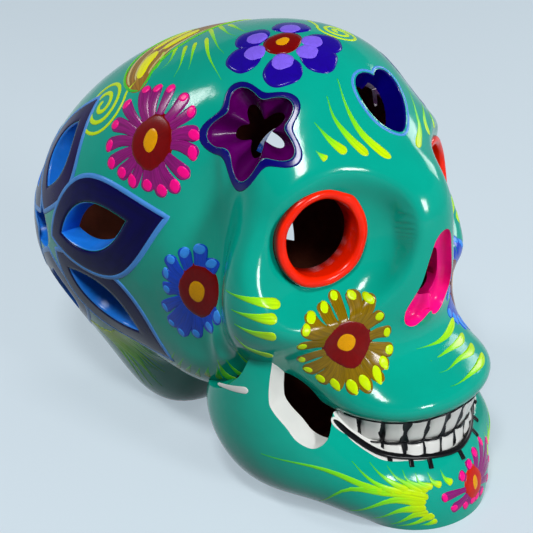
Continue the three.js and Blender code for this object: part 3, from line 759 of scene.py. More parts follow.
def glazed(finish, streaked):
    """A gloss whose colour runs through its stops along the brush mark. Clouds darken a poured glaze, and
    streaks that follow the brush darken a brushed enamel. Waves bend the highlights and a grain breaks them
    up."""
    material = bpy.data.materials.new(finish.title)
    material.use_nodes = True
    tree = material.node_tree
    shader = tree.nodes["Principled BSDF"]
    shader.inputs["Roughness"].default_value = finish.roughness
    shader.inputs["IOR"].default_value = 1.5
    shader.inputs["Specular IOR Level"].default_value = finish.shine
    places = add(tree, "ShaderNodeTexCoord").outputs["Object"]
    brush = add(tree, "ShaderNodeAttribute", {"attribute_name": "brush"}).outputs["Vector"]
    if streaked:
        stretched = add(tree, "ShaderNodeVectorMath", {"operation": "MULTIPLY"}, {0: brush, 1: STREAKS})
        cloud = add(tree, "ShaderNodeTexNoise", {}, {
            "Vector": stretched.outputs["Vector"], "Scale": 1.0, "Detail": 4.0, "Roughness": 0.6,
        })
    else:
        cloud = add(tree, "ShaderNodeTexNoise", {}, {
            "Vector": places, "Scale": CLOUDS, "Detail": 5.0, "Roughness": 0.6,
        })
    shade = add(tree, "ShaderNodeMapRange", {}, {
        "Value": cloud.outputs["Fac"], "From Min": 0.32, "From Max": 0.62,
        "To Min": 1.0 - finish.streaks, "To Max": 1.0,
    })
    mixed = add(tree, "ShaderNodeMix", {"data_type": "RGBA", "blend_type": "MULTIPLY"}, {"Factor": 1.0})
    if len(finish.stops) > 1:
        along = add(tree, "ShaderNodeSeparateXYZ", {}, {"Vector": brush}).outputs["X"]
        ramp = add(tree, "ShaderNodeValToRGB", {}, {"Fac": along})
        while len(ramp.color_ramp.elements) < len(finish.stops):
            ramp.color_ramp.elements.new(0.5)
        for element, (share, key) in zip(ramp.color_ramp.elements, finish.stops):
            element.position = share
            element.color = shade_of(key)
        tree.links.new(ramp.outputs["Color"], mixed.inputs["A"])
    else:
        mixed.inputs["A"].default_value = shade_of(finish.stops[0][1])
    tree.links.new(shade.outputs["Result"], mixed.inputs["B"])
    tree.links.new(mixed.outputs["Result"], shader.inputs["Base Color"])
    waves = add(tree, "ShaderNodeTexNoise", {}, {"Vector": places, "Scale": WAVES, "Detail": 2.0})
    normal = add(tree, "ShaderNodeBump", {}, {
        "Height": waves.outputs["Fac"], "Distance": finish.waves / 1000, "Strength": 1.0,
    }).outputs["Normal"]
    if finish.grain:
        fine = add(tree, "ShaderNodeTexNoise", {}, {"Vector": places, "Scale": GRAINS, "Detail": 3.0})
        normal = add(tree, "ShaderNodeBump", {}, {
            "Height": fine.outputs["Fac"], "Distance": finish.grain / 1000, "Strength": 1.0, "Normal": normal,
        }).outputs["Normal"]
    tree.links.new(normal, shader.inputs["Normal"])
    return material


# Where things are, as in the part's source. The jaw's throat and hollow, the cheek opening and the mouth's
# edge differ from it a little, to show the dark inside that the photograph shows.
EYE = dict(aside=28.0, ahead=48.0, up=95.0, yaw=22.0, pitch=6.0, radius=15.0)
HEART = dict(place=(3.0, 45.0, 129.5), lean=9.0, half_width=9.5, height=22.0, dip=3.5, slant=0.25)
STAR = dict(place=(33.5, 24.5, 126.0), lean=30.0, points=5, tip=14.8, valley=9.4, slant=0.9)
BACK_HOLE = dict(place=(43.0, -63.0, 71.0), lean=-7.0, radius=7.5, slant=0.2)
LEAF = dict(root=18.0, length=35.0, half_width=7.6, slant=0.25)
LEAF_LENGTH_SHARES = (0.72, 1.0, 0.9, 0.6, 0.55, 0.6)
THROAT = dict(ahead=23.0, half_width=19.0, half_length=28.0, top=72.0)
JAW_THROAT = dict(ahead=39.0, half_width=16.0, half_length=11.0, top=72.0)
VENT = dict(ahead=-37.0, half_width=6.0, half_length=6.0, top=60.0)
JAW_HOLLOW = dict(width_share=0.84, length_share=0.87, middle=35.0, floor=6.0)
TEETH = dict(
    arc_middle=46.0, half_width=26.5, front=79.0, thickness=5.0, foot=12.0, bite=29.2, top=40.0, gap=0.2,
    swell=1.1, count=14,
)
# Outlines seen from ahead, given on the left from the top down: the nose's pear and the hole in it
NOSE_POINTS = (
    (0, 95.5), (3.4, 93.5), (5.6, 87), (7.4, 80.5), (9.6, 75), (10.9, 70.5), (9.8, 66), (6.4, 63.8),
    (2.8, 64.6), (0, 67.2),
)
NOSE_HOLE_POINTS = ((0, 88), (3.2, 86.5), (4.6, 81), (5.2, 76), (3.2, 73.2), (0, 72.8))
# The recess of the nose: each ring's share of the pear and its depth, and the ridge that runs down it
NOSE_STEPS = (
    (1.0, -14), (1.04, -1), (1.0, 0.6), (0.96, 2.0), (0.9, 3.4), (0.75, 4.4), (0.5, 4.6), (0.25, 4.6),
)
NOSE_MIDDLE = 78.0
RIDGE = dict(height=2.6, half_width=1.5, top=76.0, fade=6.0)
# Outlines seen from the side: the opening behind the cheek, the mouth's lower edge from its corner to
# ahead of the chin, the jaw's top edge behind the cheek, and the corners that close the last two
CHEEK_OPENING = (
    (38.5, 60), (38.5, 52), (39.6, 43.5), (41.4, 40), (45.9, 35.5), (49.5, 31.4), (53.7, 29.4), (56.2, 31.2),
    (55.6, 35), (51, 43), (46, 51), (45, 60),
)
MOUTH_LINE = (
    (51, 43), (54.5, 37.4), (60.5, 31.6), (68.1, 27.0), (74.4, 23.9), (80, 22.6), (92, 22), (130, 22),
)
MOUTH_TOP = ((130, 72), (51, 72))
LEDGE_LINE = ((-130, 34), (-10, 34), (8, 35.5), (18, 39), (25, 44), (30, 52), (33, 72))
LEDGE_BACK = ((-130, 72),)
# The lower teeth stand on the mouth's edge lowered by this, which these corners close
LIP_SEAT_DROP = 1.0
LIP_SEAT_BACK = ((130, -60), (-130, -60), (-130, 36), (50, 36))
SHARP_ANGLE = np.radians(50)  # a cut's edge that turns by more than this stays crisp


def leaf_seats(side):
    """The seats and lengths of the leaves about the back hole"""
    seat = seat_on(CRANIUM, BACK_HOLE["place"])
    found = []
    for i, share in enumerate(LEAF_LENGTH_SHARES):
        turn = np.radians(BACK_HOLE["lean"] - i * 360 / len(LEAF_LENGTH_SHARES))
        towards = seat.up * np.cos(turn) + seat.aside * np.sin(turn)
        reach = LEAF["length"] * share
        leaf = seat_towards(CRANIUM, seat.place + towards * (LEAF["root"] + reach / 2), towards)
        found.append((mirrored(leaf, side), reach))
    return found


def star_hole(side):
    """A star's seat and its outline"""
    seat = seat_on(CRANIUM, STAR["place"], STAR["lean"], side)
    return seat, star_outline(STAR["points"], STAR["tip"], STAR["valley"])


def heart_hole():
    """The heart's seat and its outline"""
    seat = seat_on(CRANIUM, HEART["place"], HEART["lean"])
    return seat, heart_outline(HEART["half_width"], HEART["height"], HEART["dip"])


def eye_frame(side):
    """The middle of an eye's rim and the directions out, up and aside of its collar"""
    yaw, pitch = np.radians(EYE["yaw"]), np.radians(EYE["pitch"])
    out = np.array((np.sin(yaw) * np.cos(pitch), np.cos(yaw) * np.cos(pitch), np.sin(pitch)))
    up = unit(np.array((0, 0, 1.0)) - out * out[2])
    middle = np.array((EYE["aside"], EYE["ahead"], EYE["up"]))
    return [vector * np.array((side, 1.0, 1.0)) for vector in (middle, out, up, np.cross(up, out))]


def eye_shaft(side):
    """The hole that a collar stands in: a straight tube about the eye's axis, from outside to deep in"""
    middle, out, up, aside = eye_frame(side)
    turn = np.linspace(0, 2 * np.pi, 64, endpoint=False)
    spoke = np.sin(turn)[:, None] * aside + np.cos(turn)[:, None] * up
    return tube_part(np.stack([middle + spoke * EYE["radius"] + out * h for h in (20, 4, -8, -22)]), "clay")


def face_outline(points, count=96):
    """A smooth closed outline through points on the left and their mirror images"""
    points = np.array(points, float)
    both = np.concatenate([points, points[-2:0:-1] * (-1, 1)])
    return smooth_through(both, count, closed=True)


def nose_recess():
    """The nose's pear, from in front of the face back to a few millimetres under the skin, its floor
    falling in from a rounded rim, with a low ridge between its two lower lobes"""
    outline = face_outline(NOSE_POINTS)
    middle = np.array((0.0, NOSE_MIDDLE))
    rings = []
    for share, depth in NOSE_STEPS:
        ring = (outline - middle) * share + middle
        ridge = RIDGE["height"] * np.exp(-((ring[:, 0] / RIDGE["half_width"]) ** 2))
        ridge = ridge * np.clip((RIDGE["top"] - ring[:, 1]) / RIDGE["fade"], 0, 1) * (share < 0.95)
        rings.append(np.stack([ring[:, 0], face_reach(ring) - depth + ridge, ring[:, 1]], -1))
    return tube_part(np.array(rings), "nose")


def face_reach(outline):
    """How far ahead the skin of the face is at places seen from ahead: each round moves them back or
    forwards by most of their distance to it"""
    ahead = np.full(len(outline), 100.0)
    for _ in range(40):
        places = np.stack([outline[:, 0], ahead, outline[:, 1]], -1)
        ahead = ahead - np.clip(0.8 * clay_distance(CRANIUM, places), -4, 8)
    return ahead


class SKULL_OT_cranium(bpy.types.Operator):
    """The cranium and face: its skin, hollowed and pierced"""

    bl_idname = "skull.cranium"
    bl_label = "Cranium"

    def execute(self, context):
        finishes = ("teal", "clay", "navy", "star", "leaf_wall", "nose")
        skin = skin_part(CRANIUM, 0.0, 300, 210)
        shell = piece("cranium", [skin], finishes, ("right_shell", "left_shell"))
        cut(shell, [skin_part(CRANIUM, CRANIUM_WALL, 110, 80, "clay")], finishes, "hollow")
        cut(shell, [slab_part(0)], finishes, "below")
        cut(shell, [shaft_part(**THROAT)], finishes, "throat")
        cut_by(shell, jaw_hollow(finishes))
        heart, heart_edge = heart_hole()
        tools = [shaft_part(**VENT), cutter_part(heart, heart_edge, HEART["slant"], "navy")]
        back_edge = round_outline(BACK_HOLE["radius"])
        for side in SIDES.values():
            star, star_edge = star_hole(side)
            tools.append(cutter_part(star, star_edge, STAR["slant"], "star"))
            back = seat_on(CRANIUM, BACK_HOLE["place"], 0.0, side)
            tools.append(cutter_part(back, back_edge, BACK_HOLE["slant"], "leaf_wall"))
            for seat, reach in leaf_seats(side):
                leaf = leaf_outline(reach, LEAF["half_width"])
                tools.append(cutter_part(seat, leaf, LEAF["slant"], "leaf_wall"))
            tools.append(eye_shaft(side))
        cut(shell, tools, finishes, "openings")
        cut(shell, [nose_recess()], finishes, "nose")
        nose_hole = carried_part(face_outline(NOSE_HOLE_POINTS), AHEAD, 100, 40, "nose", 7)
        cut(shell, [nose_hole], finishes, "nose_hole")
        shell.data.set_sharp_from_angle(angle=SHARP_ANGLE)
        return {"FINISHED"}


def jaw_hollow(finishes):
    """The jaw's hollow: its skin drawn in across and lengthwise but not in height, above a flat floor, so
    that it stands open to the cranium's"""
    inside = skin_part(JAW, 0.0, 120, 80, "clay")
    middle = (0, JAW_HOLLOW["middle"], 0)
    shares = (JAW_HOLLOW["width_share"], JAW_HOLLOW["length_share"], 1.0)
    hollow = piece("hollow", [inside._replace(places=(inside.places - middle) * shares + middle)], finishes)
    cut(hollow, [slab_part(JAW_HOLLOW["floor"])], finishes, "floor")
    return hollow


class SKULL_OT_jaw(bpy.types.Operator):
    """The jaw: a hollow horseshoe cut for the mouth and the openings behind the cheeks"""

    bl_idname = "skull.jaw"
    bl_label = "Jaw"

    def execute(self, context):
        finishes = ("teal", "clay", "white")
        skin = skin_part(JAW, 0.0, 240, 150)
        jaw = piece("jaw", [skin], finishes, ("right_jaw_half", "left_jaw_half"))
        cut_by(jaw, jaw_hollow(finishes))
        mouth = np.concatenate([smooth_through(MOUTH_LINE, 60), MOUTH_TOP])
        cheeks = smooth_through(CHEEK_OPENING, 96, closed=True)
        ledge = np.concatenate([smooth_through(LEDGE_LINE, 60), LEDGE_BACK])
        for name, tool in (
            ("seat", skin_part(CRANIUM, 1.2, 160, 110)),
            ("below", slab_part(0)),
            ("throat", shaft_part(**JAW_THROAT)),
            ("mouth", carried_part(mouth, ASIDE, -60, 60, "white")),
            ("cheeks", carried_part(cheeks, ASIDE, -60, 60, "white")),
            ("ledge", carried_part(ledge, ASIDE, -60, 60)),
        ):
            cut(jaw, [tool], finishes, name)
        jaw.data.set_sharp_from_angle(angle=SHARP_ANGLE)
        return {"FINISHED"}


class SKULL_OT_collars(bpy.types.Operator):
    """The rolled clay collars in the eyes"""

    bl_idname = "skull.collars"
    bl_label = "Eye collars"

    def execute(self, context):
        for name, side in SIDES.items():
            piece(f"{name}_collar", [collar_part(side)], ["red"], (f"{name}_eye_collar",))
        return {"FINISHED"}


# How far the roll's radius swings by hand: swing, waves round the rim and phase
COLLAR_WAVERS = ((0.28, 2, 0.6), (0.22, 5, 1.9), (0.12, 9, 0.0))
# Where the roll's end laps over its start, in radians, how long the lap is and how far it stands out
LAP = dict(turn=0.75, length=0.16, height=0.7)


def collar_part(side):
    """A section carried round the eye's axis: the bore, a rolled lip, the outer wall. The roll's radius
    wavers by hand, and steps where its end laps over its start."""
    middle, out, up, aside = eye_frame(side)
    bore, outer, depth = mm("collar_bore"), mm("collar_radius"), mm("collar_depth")
    turn = np.linspace(0, 2 * np.pi, 144, endpoint=False)[:, None]
    lip = np.radians(np.linspace(180, -30, 17))
    roll_middle, roll = (bore + outer) / 2, (outer - bore) / 2
    radius = (bore - 0.2, bore - 0.1, *(roll_middle + roll * np.cos(lip)), outer - 0.9, outer - 1.2)
    height = (-depth, -depth / 2, *(0.1 + roll * np.sin(lip) - roll), -6.5, -depth)
    waver = sum(swing * np.sin(count * turn + phase) for swing, count, phase in COLLAR_WAVERS)
    off_lap = (turn - LAP["turn"] + np.pi) % (2 * np.pi) - np.pi
    lap = LAP["height"] * np.exp(-((off_lap / LAP["length"]) ** 2))
    section = np.linspace(0, 1, len(radius))
    rim = np.exp(-(((section - 0.45) / 0.3) ** 2))
    radii = np.array(radius) + waver * 0.8 * rim + lap * (section > 0.4) * rim
    heights = np.array(height) + (0.35 * np.sin(3 * turn + 2.2) + lap * 0.5) * rim
    spoke = np.sin(turn)[..., None] * aside + np.cos(turn)[..., None] * up
    brush = brush_shares(len(turn), len(section))
    # The red finish reads this share along the section: past 0.72 of it, down the outer side, it takes the
    # painted shade's dark red
    brush[..., 0] = section
    return loop_part(middle + spoke * radii[..., None] + out * heights[..., None], brush)


class SKULL_OT_teeth(bpy.types.Operator):
    """Two rows of teeth, each tooth swelling out of its row"""

    bl_idname = "skull.teeth"
    bl_label = "Teeth"

    def execute(self, context):
        finishes = ("white", "clay")
        gum = skin_part(CRANIUM, 0.6, 160, 110, "clay")
        upper = tooth_row(TEETH["bite"] + TEETH["gap"], TEETH["top"])
        made = piece("upper_tooth_row", [upper], finishes, ("upper_teeth",))
        cut(made, [gum], finishes, "gum")
        lower = tooth_row(TEETH["foot"], TEETH["bite"] - TEETH["gap"])
        made = piece("lower_tooth_row", [lower], finishes, ("lower_teeth",))
        under = np.concatenate([smooth_through(MOUTH_LINE, 60) - (0, LIP_SEAT_DROP), LIP_SEAT_BACK])
        cut(made, [carried_part(under, ASIDE, -80, 80, "clay")], finishes, "lip_seat")
        cut(made, [gum], finishes, "gum")
        return {"FINISHED"}


def tooth_swell(share):
    """How far a row swells out at a share of the arch: one less the fourth power of the distance from the
    tooth's middle"""
    within = (share * TEETH["count"]) % 1 * 2 - 1
    return TEETH["swell"] * (1 - within**4)


def tooth_face(share, out, up):
    """Places on the arch that the teeth follow, half an oval from its right end at 0 to its left end at 1,
    at a distance out from it. The arch widens above the bite, and at its sides below it."""
    angle = share * np.pi
    x = -(TEETH["half_width"] + out) * np.cos(angle)
    ahead = (TEETH["front"] - TEETH["arc_middle"] + out) * np.sin(angle)
    above = np.maximum((up - TEETH["bite"]) / (TEETH["top"] - TEETH["bite"]), 0)
    below = np.clip((TEETH["bite"] - up) / 6, 0, 1)
    flare = 1 + 0.09 * above + 0.15 * below * (1 - np.sin(angle) ** 2)
    return np.stack(np.broadcast_arrays(x * flare, TEETH["arc_middle"] + ahead * flare, up + 0 * share), -1)


def tooth_row(bottom, top):
    """A closed section carried round the arch: its outer face swells at each tooth and rounds off towards
    its upper and lower edges"""
    share = np.linspace(0.08, 0.92, TEETH["count"] * 14 + 1)[:, None]
    heights = np.linspace(bottom, top, 12)[None, :]
    round_off = 1 - ((heights - (bottom + top) / 2) / ((top - bottom) / 2)) ** 6 * 0.5
    outer = tooth_face(share, tooth_swell(share) * round_off, heights)
    inner = tooth_face(share, -TEETH["thickness"], np.full((1, 2), TEETH["bite"]))
    inner[:, 0, 2], inner[:, 1, 2] = top, bottom
    return tube_part(np.concatenate([outer, inner], 1))


def gum_height(share):
    """Where the arch of the teeth meets the cranium: halving the span between the bite and just over the
    teeth's top"""
    low, high = np.full_like(share, TEETH["bite"]), np.full_like(share, TEETH["top"] + 0.5)
    for _ in range(24):
        middle = (low + high) / 2
        inside = clay_distance(CRANIUM, tooth_face(share, tooth_swell(share), middle)) < 0
        low, high = np.where(inside, low, middle), np.where(inside, middle, high)
    return low


# The lines along the gum and the bite, how far the lines between teeth run past them, and where those of
# the lower row start
GUM_LINE = dict(half_height=0.6, thickness=0.45, span=(0.1, 0.9))
BITE_LINE = dict(half_height=0.5, thickness=0.35, span=(0.12, 0.88))
GUM_LAP, BITE_LAP = 0.6, 0.3
LOWER_LINES_FOOT = 22.5
# The lower lip's line from the corner to the middle, and the stitches across it
LIP_LINE = (
    (30.6, 55, 36.5), (28.6, 60.5, 32.2), (24.5, 68.1, 27.5), (16.8, 74.5, 24.4), (6.8, 79.7, 22.9),
    (0, 80.9, 22.4),
)
STITCHES = (
    ((21.5, 70.3, 26.5), (22.9, 71.6, 24.9)),
    ((16.2, 74.3, 24.4), (17.5, 75.9, 22.2)),
    ((11.3, 77.9, 23.2), (12.4, 79.8, 20.6)),
    ((0.1, 81.1, 22.4), (-0.1, 83.3, 19.4)),
)


class SKULL_OT_mouth_lines(bpy.types.Operator):
    """The black lines between the teeth, along the gum and round the lower lip, with its stitches"""

    bl_idname = "skull.mouth_lines"
    bl_label = "Mouth lines"

    def execute(self, context):
        bite = TEETH["bite"]
        parts = [row_line(gum_height, **GUM_LINE), row_line(lambda share: bite + 0 * share, **BITE_LINE)]
        for k in range(2, TEETH["count"] - 1):
            share = k / TEETH["count"]
            top = gum_height(np.array([share]))[0] + GUM_LAP
            parts.append(tooth_line(share, bite - BITE_LAP, top, 0.9 + 0.25 * np.sin(2.1 * k), k))
            parts.append(
                tooth_line(share, LOWER_LINES_FOOT, bite + BITE_LAP, 0.6 + 0.2 * np.cos(1.7 * k), k + 0.5)
            )
        lip = np.concatenate([sided(LIP_LINE, -1.0), sided(LIP_LINE[:-1], 1.0)[::-1]])
        parts += mark_parts(JAW, [lip], [1.9], Brush(0.5, 0.5, 0.04, 0.04), 7.0, steps=80)
        stitches = [sided(line, side) for side in SIDES.values() for line in STITCHES]
        parts += mark_parts(JAW, stitches, [0.85], EVEN, 4.0)
        piece("mouth_lines", parts, ["black"])
        return {"FINISHED"}


def row_line(height_at, half_height, thickness, span):
    """A line along a row of teeth at a height, wavering a little: a flat oval section carried along it"""
    share = np.linspace(*span, 220)[:, None]
    turn = np.linspace(0, 2 * np.pi, 10, endpoint=False)[None, :]
    taper = np.sqrt(np.sin(np.linspace(0.02, np.pi - 0.02, 220)))[:, None]
    waver = 1 + 0.25 * np.sin(61 * share) + 0.15 * np.sin(143 * share + 1)
    heights = height_at(share[:, 0])[:, None] - 0.2 + half_height * taper * waver * np.cos(turn)
    out = tooth_swell(share) * 0.9 + 0.1 + thickness * np.sin(turn)
    return tube_part(tooth_face(share, out, heights))


def tooth_line(share, low, high, half_width, serial):
    """A line down between two teeth: it bulges over the groove and lies on the teeth's shoulders"""
    heights = np.linspace(low, high, 16)[:, None]
    turn = np.linspace(0, 2 * np.pi, 14, endpoint=False)[None, :]
    arch_reach = np.pi * (TEETH["half_width"] + TEETH["front"] - TEETH["arc_middle"]) / 2
    waver = 1 + 0.3 * np.sin(0.9 * heights + 3.1 * serial)
    shares = share + half_width * waver * np.cos(turn) / arch_reach
    lean = 0.25 / arch_reach * np.sin(0.6 * heights + serial)
    out = np.where(np.sin(turn) > 0, np.maximum(tooth_swell(shares), 0.45) + 0.16 * np.sin(turn), -0.4)
    return tube_part(tooth_face(shares + lean, out, heights))


def sided(points, side):
    """Places of the left side, or their mirror images on the right"""
    return np.array(points, float) * (side, 1.0, 1.0)


# Where the stars' border starts and ends outside their holes, and the heart's line lies
STAR_BORDER = (0.6, 3.3)
HEART_BORDER = 1.5


class SKULL_OT_borders(bpy.types.Operator):
    """The painted edges of the stars and the heart"""

    bl_idname = "skull.borders"
    bl_label = "Borders of the stars and heart"

    def execute(self, context):
        for name, side in SIDES.items():
            seat, star = star_hole(side)
            edges = [from_seat(seat, *scaled_outline(star, spread).T) for spread in STAR_BORDER]
            piece(f"{name}_star_border", [field_part(CRANIUM, *edges, 1.0)], ["navy"])
        seat, heart = heart_hole()
        line = from_seat(seat, *scaled_outline(heart, HEART_BORDER).T)
        piece("heart_border", [ribbon_part(CRANIUM, line, 0.45, 1.5)], ["sky"])
        return {"FINISHED"}


# How many coats up each back petal lies: the big one on top tucks its neighbours under
PETAL_COATS = (2, 3, 2, 1, 2, 1)
COAT = 1.3  # a coat's height, in thicknesses of the paint
# A back petal about its leaf's middle: it reaches down by its root and a share of below, and up by a share
# of above, and a longer leaf's is wider by up to the extra width
PETAL = dict(root=10.5, below=17.5, above=34.5, half_width=14.0, extra_width=3.5)


class SKULL_OT_back_flowers(bpy.types.Operator):
    """The dark flowers on the back: a broad petal with a sky blue outline round each leaf's opening"""

    bl_idname = "skull.back_flowers"
    bl_label = "Back flowers"

    def execute(self, context):
        for name, side in SIDES.items():
            parts = []
            for (seat, reach), coats in zip(leaf_seats(side), PETAL_COATS):
                share = reach / LEAF["length"]
                width = PETAL["half_width"] + PETAL["extra_width"] * np.clip((share - 0.6) / 0.4, 0, 1)
                low, high = -(PETAL["root"] + PETAL["below"] * share), PETAL["above"] * share
                edge = petal_outline(low, high, width)
                hole = scaled_outline(leaf_outline(reach, LEAF["half_width"], len(edge)), 0.6)
                lines = [from_seat(seat, *outline.T) for outline in (hole, edge)]
                ground = "field_top" if seat.up[2] > 0.6 else "field"
                parts.append(field_part(CRANIUM, *lines, COAT * coats - 0.6, ground, 13))
                parts.append(ribbon_part(CRANIUM, lines[1], 1.0, COAT * coats, "sky"))
            piece(f"{name}_back_flower", parts, ["field", "field_top", "sky"])
        return {"FINISHED"}


# The daisies' charts: the angle of each petal from the top towards the face and its length from the middle
TEMPLE_TOP_DAISY = Flower(
    disc=(8.5, 9.5), spot=(3.2, 4.3), heel=1.6, toe=2.5, dab=2.0, root=6.0,
    petals=(
        (-8, 21), (-26, 22), (-40, 23.8), (17, 19.5), (40, 18.6), (66, 17.8), (85, 17.4), (111, 16.5),
        (132, 17.3), (151, 16.8), (172, 15.1), (-163, 16.1), (-144, 17), (-126, 19.7), (-107, 20.4),
        (-85, 21), (-63, 23.2),
    ),
)
TEMPLE_DAISY = Flower(
    disc=(7.2, 9.6), spot=(3.0, 4.2), heel=1.7, toe=2.4, dab=1.9, root=5.0,
    petals=(
        (0, 16.4), (-19, 15.7), (-43, 15.9), (-68, 15), (-96, 14.9), (-122, 21.2), (-139, 24.1), (-153, 23.3),
        (-172, 18.7), (161, 13.9), (131, 11.7), (21, 12.4),
    ),
)
CHEEK_DAISY = Flower(
    disc=(7.9, 8.4), spot=(3.5, 3.5), heel=1.6, toe=2.3, dab=1.6, root=6.0,
    petals=(
        (-10, 15.8), (14, 15.7), (31, 16.7), (54, 14.2), (85, 14.9), (108, 15.9), (123, 14.4), (139, 13.5),
        (160, 12.9), (178, 13.7), (-164, 15.4), (-150, 17.1), (-134, 17.8), (-114, 16.8), (-83, 16),
        (-61, 16.7), (-49, 16.7), (-30, 14.8),
    ),
)
# Each daisy's name, chart and place, and the finishes of its petals and dabs on the right and on the left
DAISIES = (
    ("temple_top_daisy", TEMPLE_TOP_DAISY, (43.5, -7.8, 116.1), ("magenta", "rose"), ("magenta", "rose")),
    ("temple_daisy", TEMPLE_DAISY, (44.6, 11.6, 71.5), ("cobalt", "azure"), ("olive", "citrus")),
    ("cheek_daisy", CHEEK_DAISY, (27.0, 56.8, 63.1), ("olive", "citrus"), ("cobalt", "azure")),
)


class SKULL_OT_daisies(bpy.types.Operator):
    """Three daisies on each side: behind the star, on the temple and under the eye"""

    bl_idname = "skull.daisies"
    bl_label = "Daisies"

    def execute(self, context):
        for name, flower, place, *colours in DAISIES:
            for (side_name, side), petal_and_dab in zip(SIDES.items(), colours):
                finishes = (*petal_and_dab, "oxblood", "amber")
                seat = seat_on(CRANIUM, place, 0.0, side)
                piece(f"{side_name}_{name}", daisy_parts(seat, flower, finishes), finishes)
        return {"FINISHED"}


# The flower on the crown: each petal's angle from ahead towards the left, its middle's distance and its
# half width and half length
TOP_FLOWER_PLACE = (-10.4, 16.2, 144.6)
TOP_PETALS = (
    (-51, 12.9, 6.2, 5.9), (6, 13.7, 6.1, 6.1), (42, 13.0, 5.7, 6.2), (115, 11.0, 6.2, 5.4),
    (190, 11.0, 6.1, 5.5), (-120, 12.8, 6.1, 5.9),
)
# The dab at a petal's root: its middle's distance, half width and half length
ROOT_DAB = (9.3, 3.7, 3.6)


class SKULL_OT_top_flower(bpy.types.Operator):
    """The flower with six round petals on the crown"""

    bl_idname = "skull.top_flower"
    bl_label = "Top flower"

    def execute(self, context):
        seat = crown_seat(TOP_FLOWER_PLACE)
        parts = []
        for angle, *petal in TOP_PETALS:
            turn = np.radians(angle)
            coats = ((petal, 1.4, "indigo"), (ROOT_DAB, 2.2, "lavender"))
            for (distance, *half_sizes), crown, finish in coats:
                oval = oval_outline(*half_sizes, 0.04, 3, angle)
                across = oval[:, 0] * np.cos(turn) - oval[:, 1] * np.sin(turn)
                along = oval[:, 0] * np.sin(turn) + oval[:, 1] * np.cos(turn)
                middle = (-distance * np.sin(turn), distance * np.cos(turn))
                parts.append(disc_part(seat, np.stack([across, along], -1), middle, crown, finish))
        parts.append(disc_part(seat, oval_outline(6.3, 5.6, 0.03), (0, 0), 2.6, "oxblood"))
        parts.append(disc_part(seat, oval_outline(2.7, 2.2, 0.04), (0, 0), 3.4, "amber"))
        piece("top_flower", parts, ["indigo", "lavender", "oxblood", "amber"])
        return {"FINISHED"}


# The flower on the chin: its petals' angles are from the top towards the right
CHIN_PLACE = (1.8, 87.0, 10.9)
CHIN_FLOWER = Flower(
    disc=(5.0, 5.8), spot=(1.5, 2.8), heel=1.0, toe=1.9, dab=1.5, root=3.5,
    petals=(
        (-58, 15.9), (-32, 10.7), (1, 7.8), (48, 8.2), (93, 15.5), (118, 13.2), (140, 9.6), (168, 7.6),
        (-168, 7.4), (-142, 9.4), (-116, 14.0), (-96, 18.2), (-78, 21.0),
    ),
)


class SKULL_OT_chin_flower(bpy.types.Operator):
    """The flower on the chin, with a red disc in its middle"""

    bl_idname = "skull.chin_flower"
    bl_label = "Chin flower"

    def execute(self, context):
        finishes = ("magenta", "rose", "ember", "amber")
        piece("chin_flower", daisy_parts(seat_on(JAW, CHIN_PLACE), CHIN_FLOWER, finishes), finishes)
        return {"FINISHED"}


# Brush strokes: each line is from its thin end to its thick one
CHEEK_STROKES = (
    ((50.3, 28.8, 80.3), (50.0, 39.5, 80.3), (42.5, 43.6, 77.8)),
    ((51.6, 32.2, 75.4), (50.7, 40.1, 75.3), (45.9, 45.3, 74.7)),
    ((51.3, 33.0, 70.7), (50.0, 39.4, 69.4), (47.0, 45.9, 69.1)),
    ((49.6, 31.4, 65.4), (47.4, 35.3, 61.3), (43.1, 41.2, 59.1)),
    ((44.2, 26.3, 57.0), (40.1, 27.7, 50.8), (36.4, 32.2, 48.1)),
    ((41.0, 19.8, 48.8), (37.5, 21.1, 43.4), (31.5, 23.6, 39.3)),
    ((41.7, 16.6, 47.9), (38.2, 16.5, 41.1), (35.0, 18.5, 37.5)),
)
RIM_STROKES = (
    ((40.6, 15.4, 45.0), (37.2, 13.2, 37.6)),
    ((40.4, 11.4, 42.8), (38.4, 9.0, 37.4)),
    ((40.6, 7.7, 41.1), (37.9, 4.2, 35.3)),
    ((41.4, 4.8, 41.6), (38.5, 0.0, 35.5)),
    ((42.3, 2.0, 43.1), (38.1, -4.6, 35.2)),
    ((42.8, -1.3, 44.3), (39.1, -7.2, 36.9)),
    ((42.3, -6.1, 43.2), (39.7, -10.1, 38.3)),
    ((43.2, -9.0, 46.1), (41.7, -11.2, 42.4)),
    ((43.6, -11.9, 47.4), (42.1, -13.8, 43.9)),
    ((44.2, -15.5, 49.2), (43.2, -16.2, 46.6)),
)
MUZZLE_STROKES = (
    ((-6.5, 67.9, 56.2), (3.9, 69.2, 55.0), (17.7, 64.7, 56.3)),
    ((-5.9, 71.9, 52.8), (6.1, 71.9, 52.7), (17.4, 68.6, 52.3)),
    ((-5.3, 76.1, 50.6), (5.7, 76.1, 50.6), (17.2, 72.3, 50.1)),
    ((-6.2, 81.0, 47.9), (5.3, 81.1, 47.9), (17.8, 76.2, 47.8)),
)
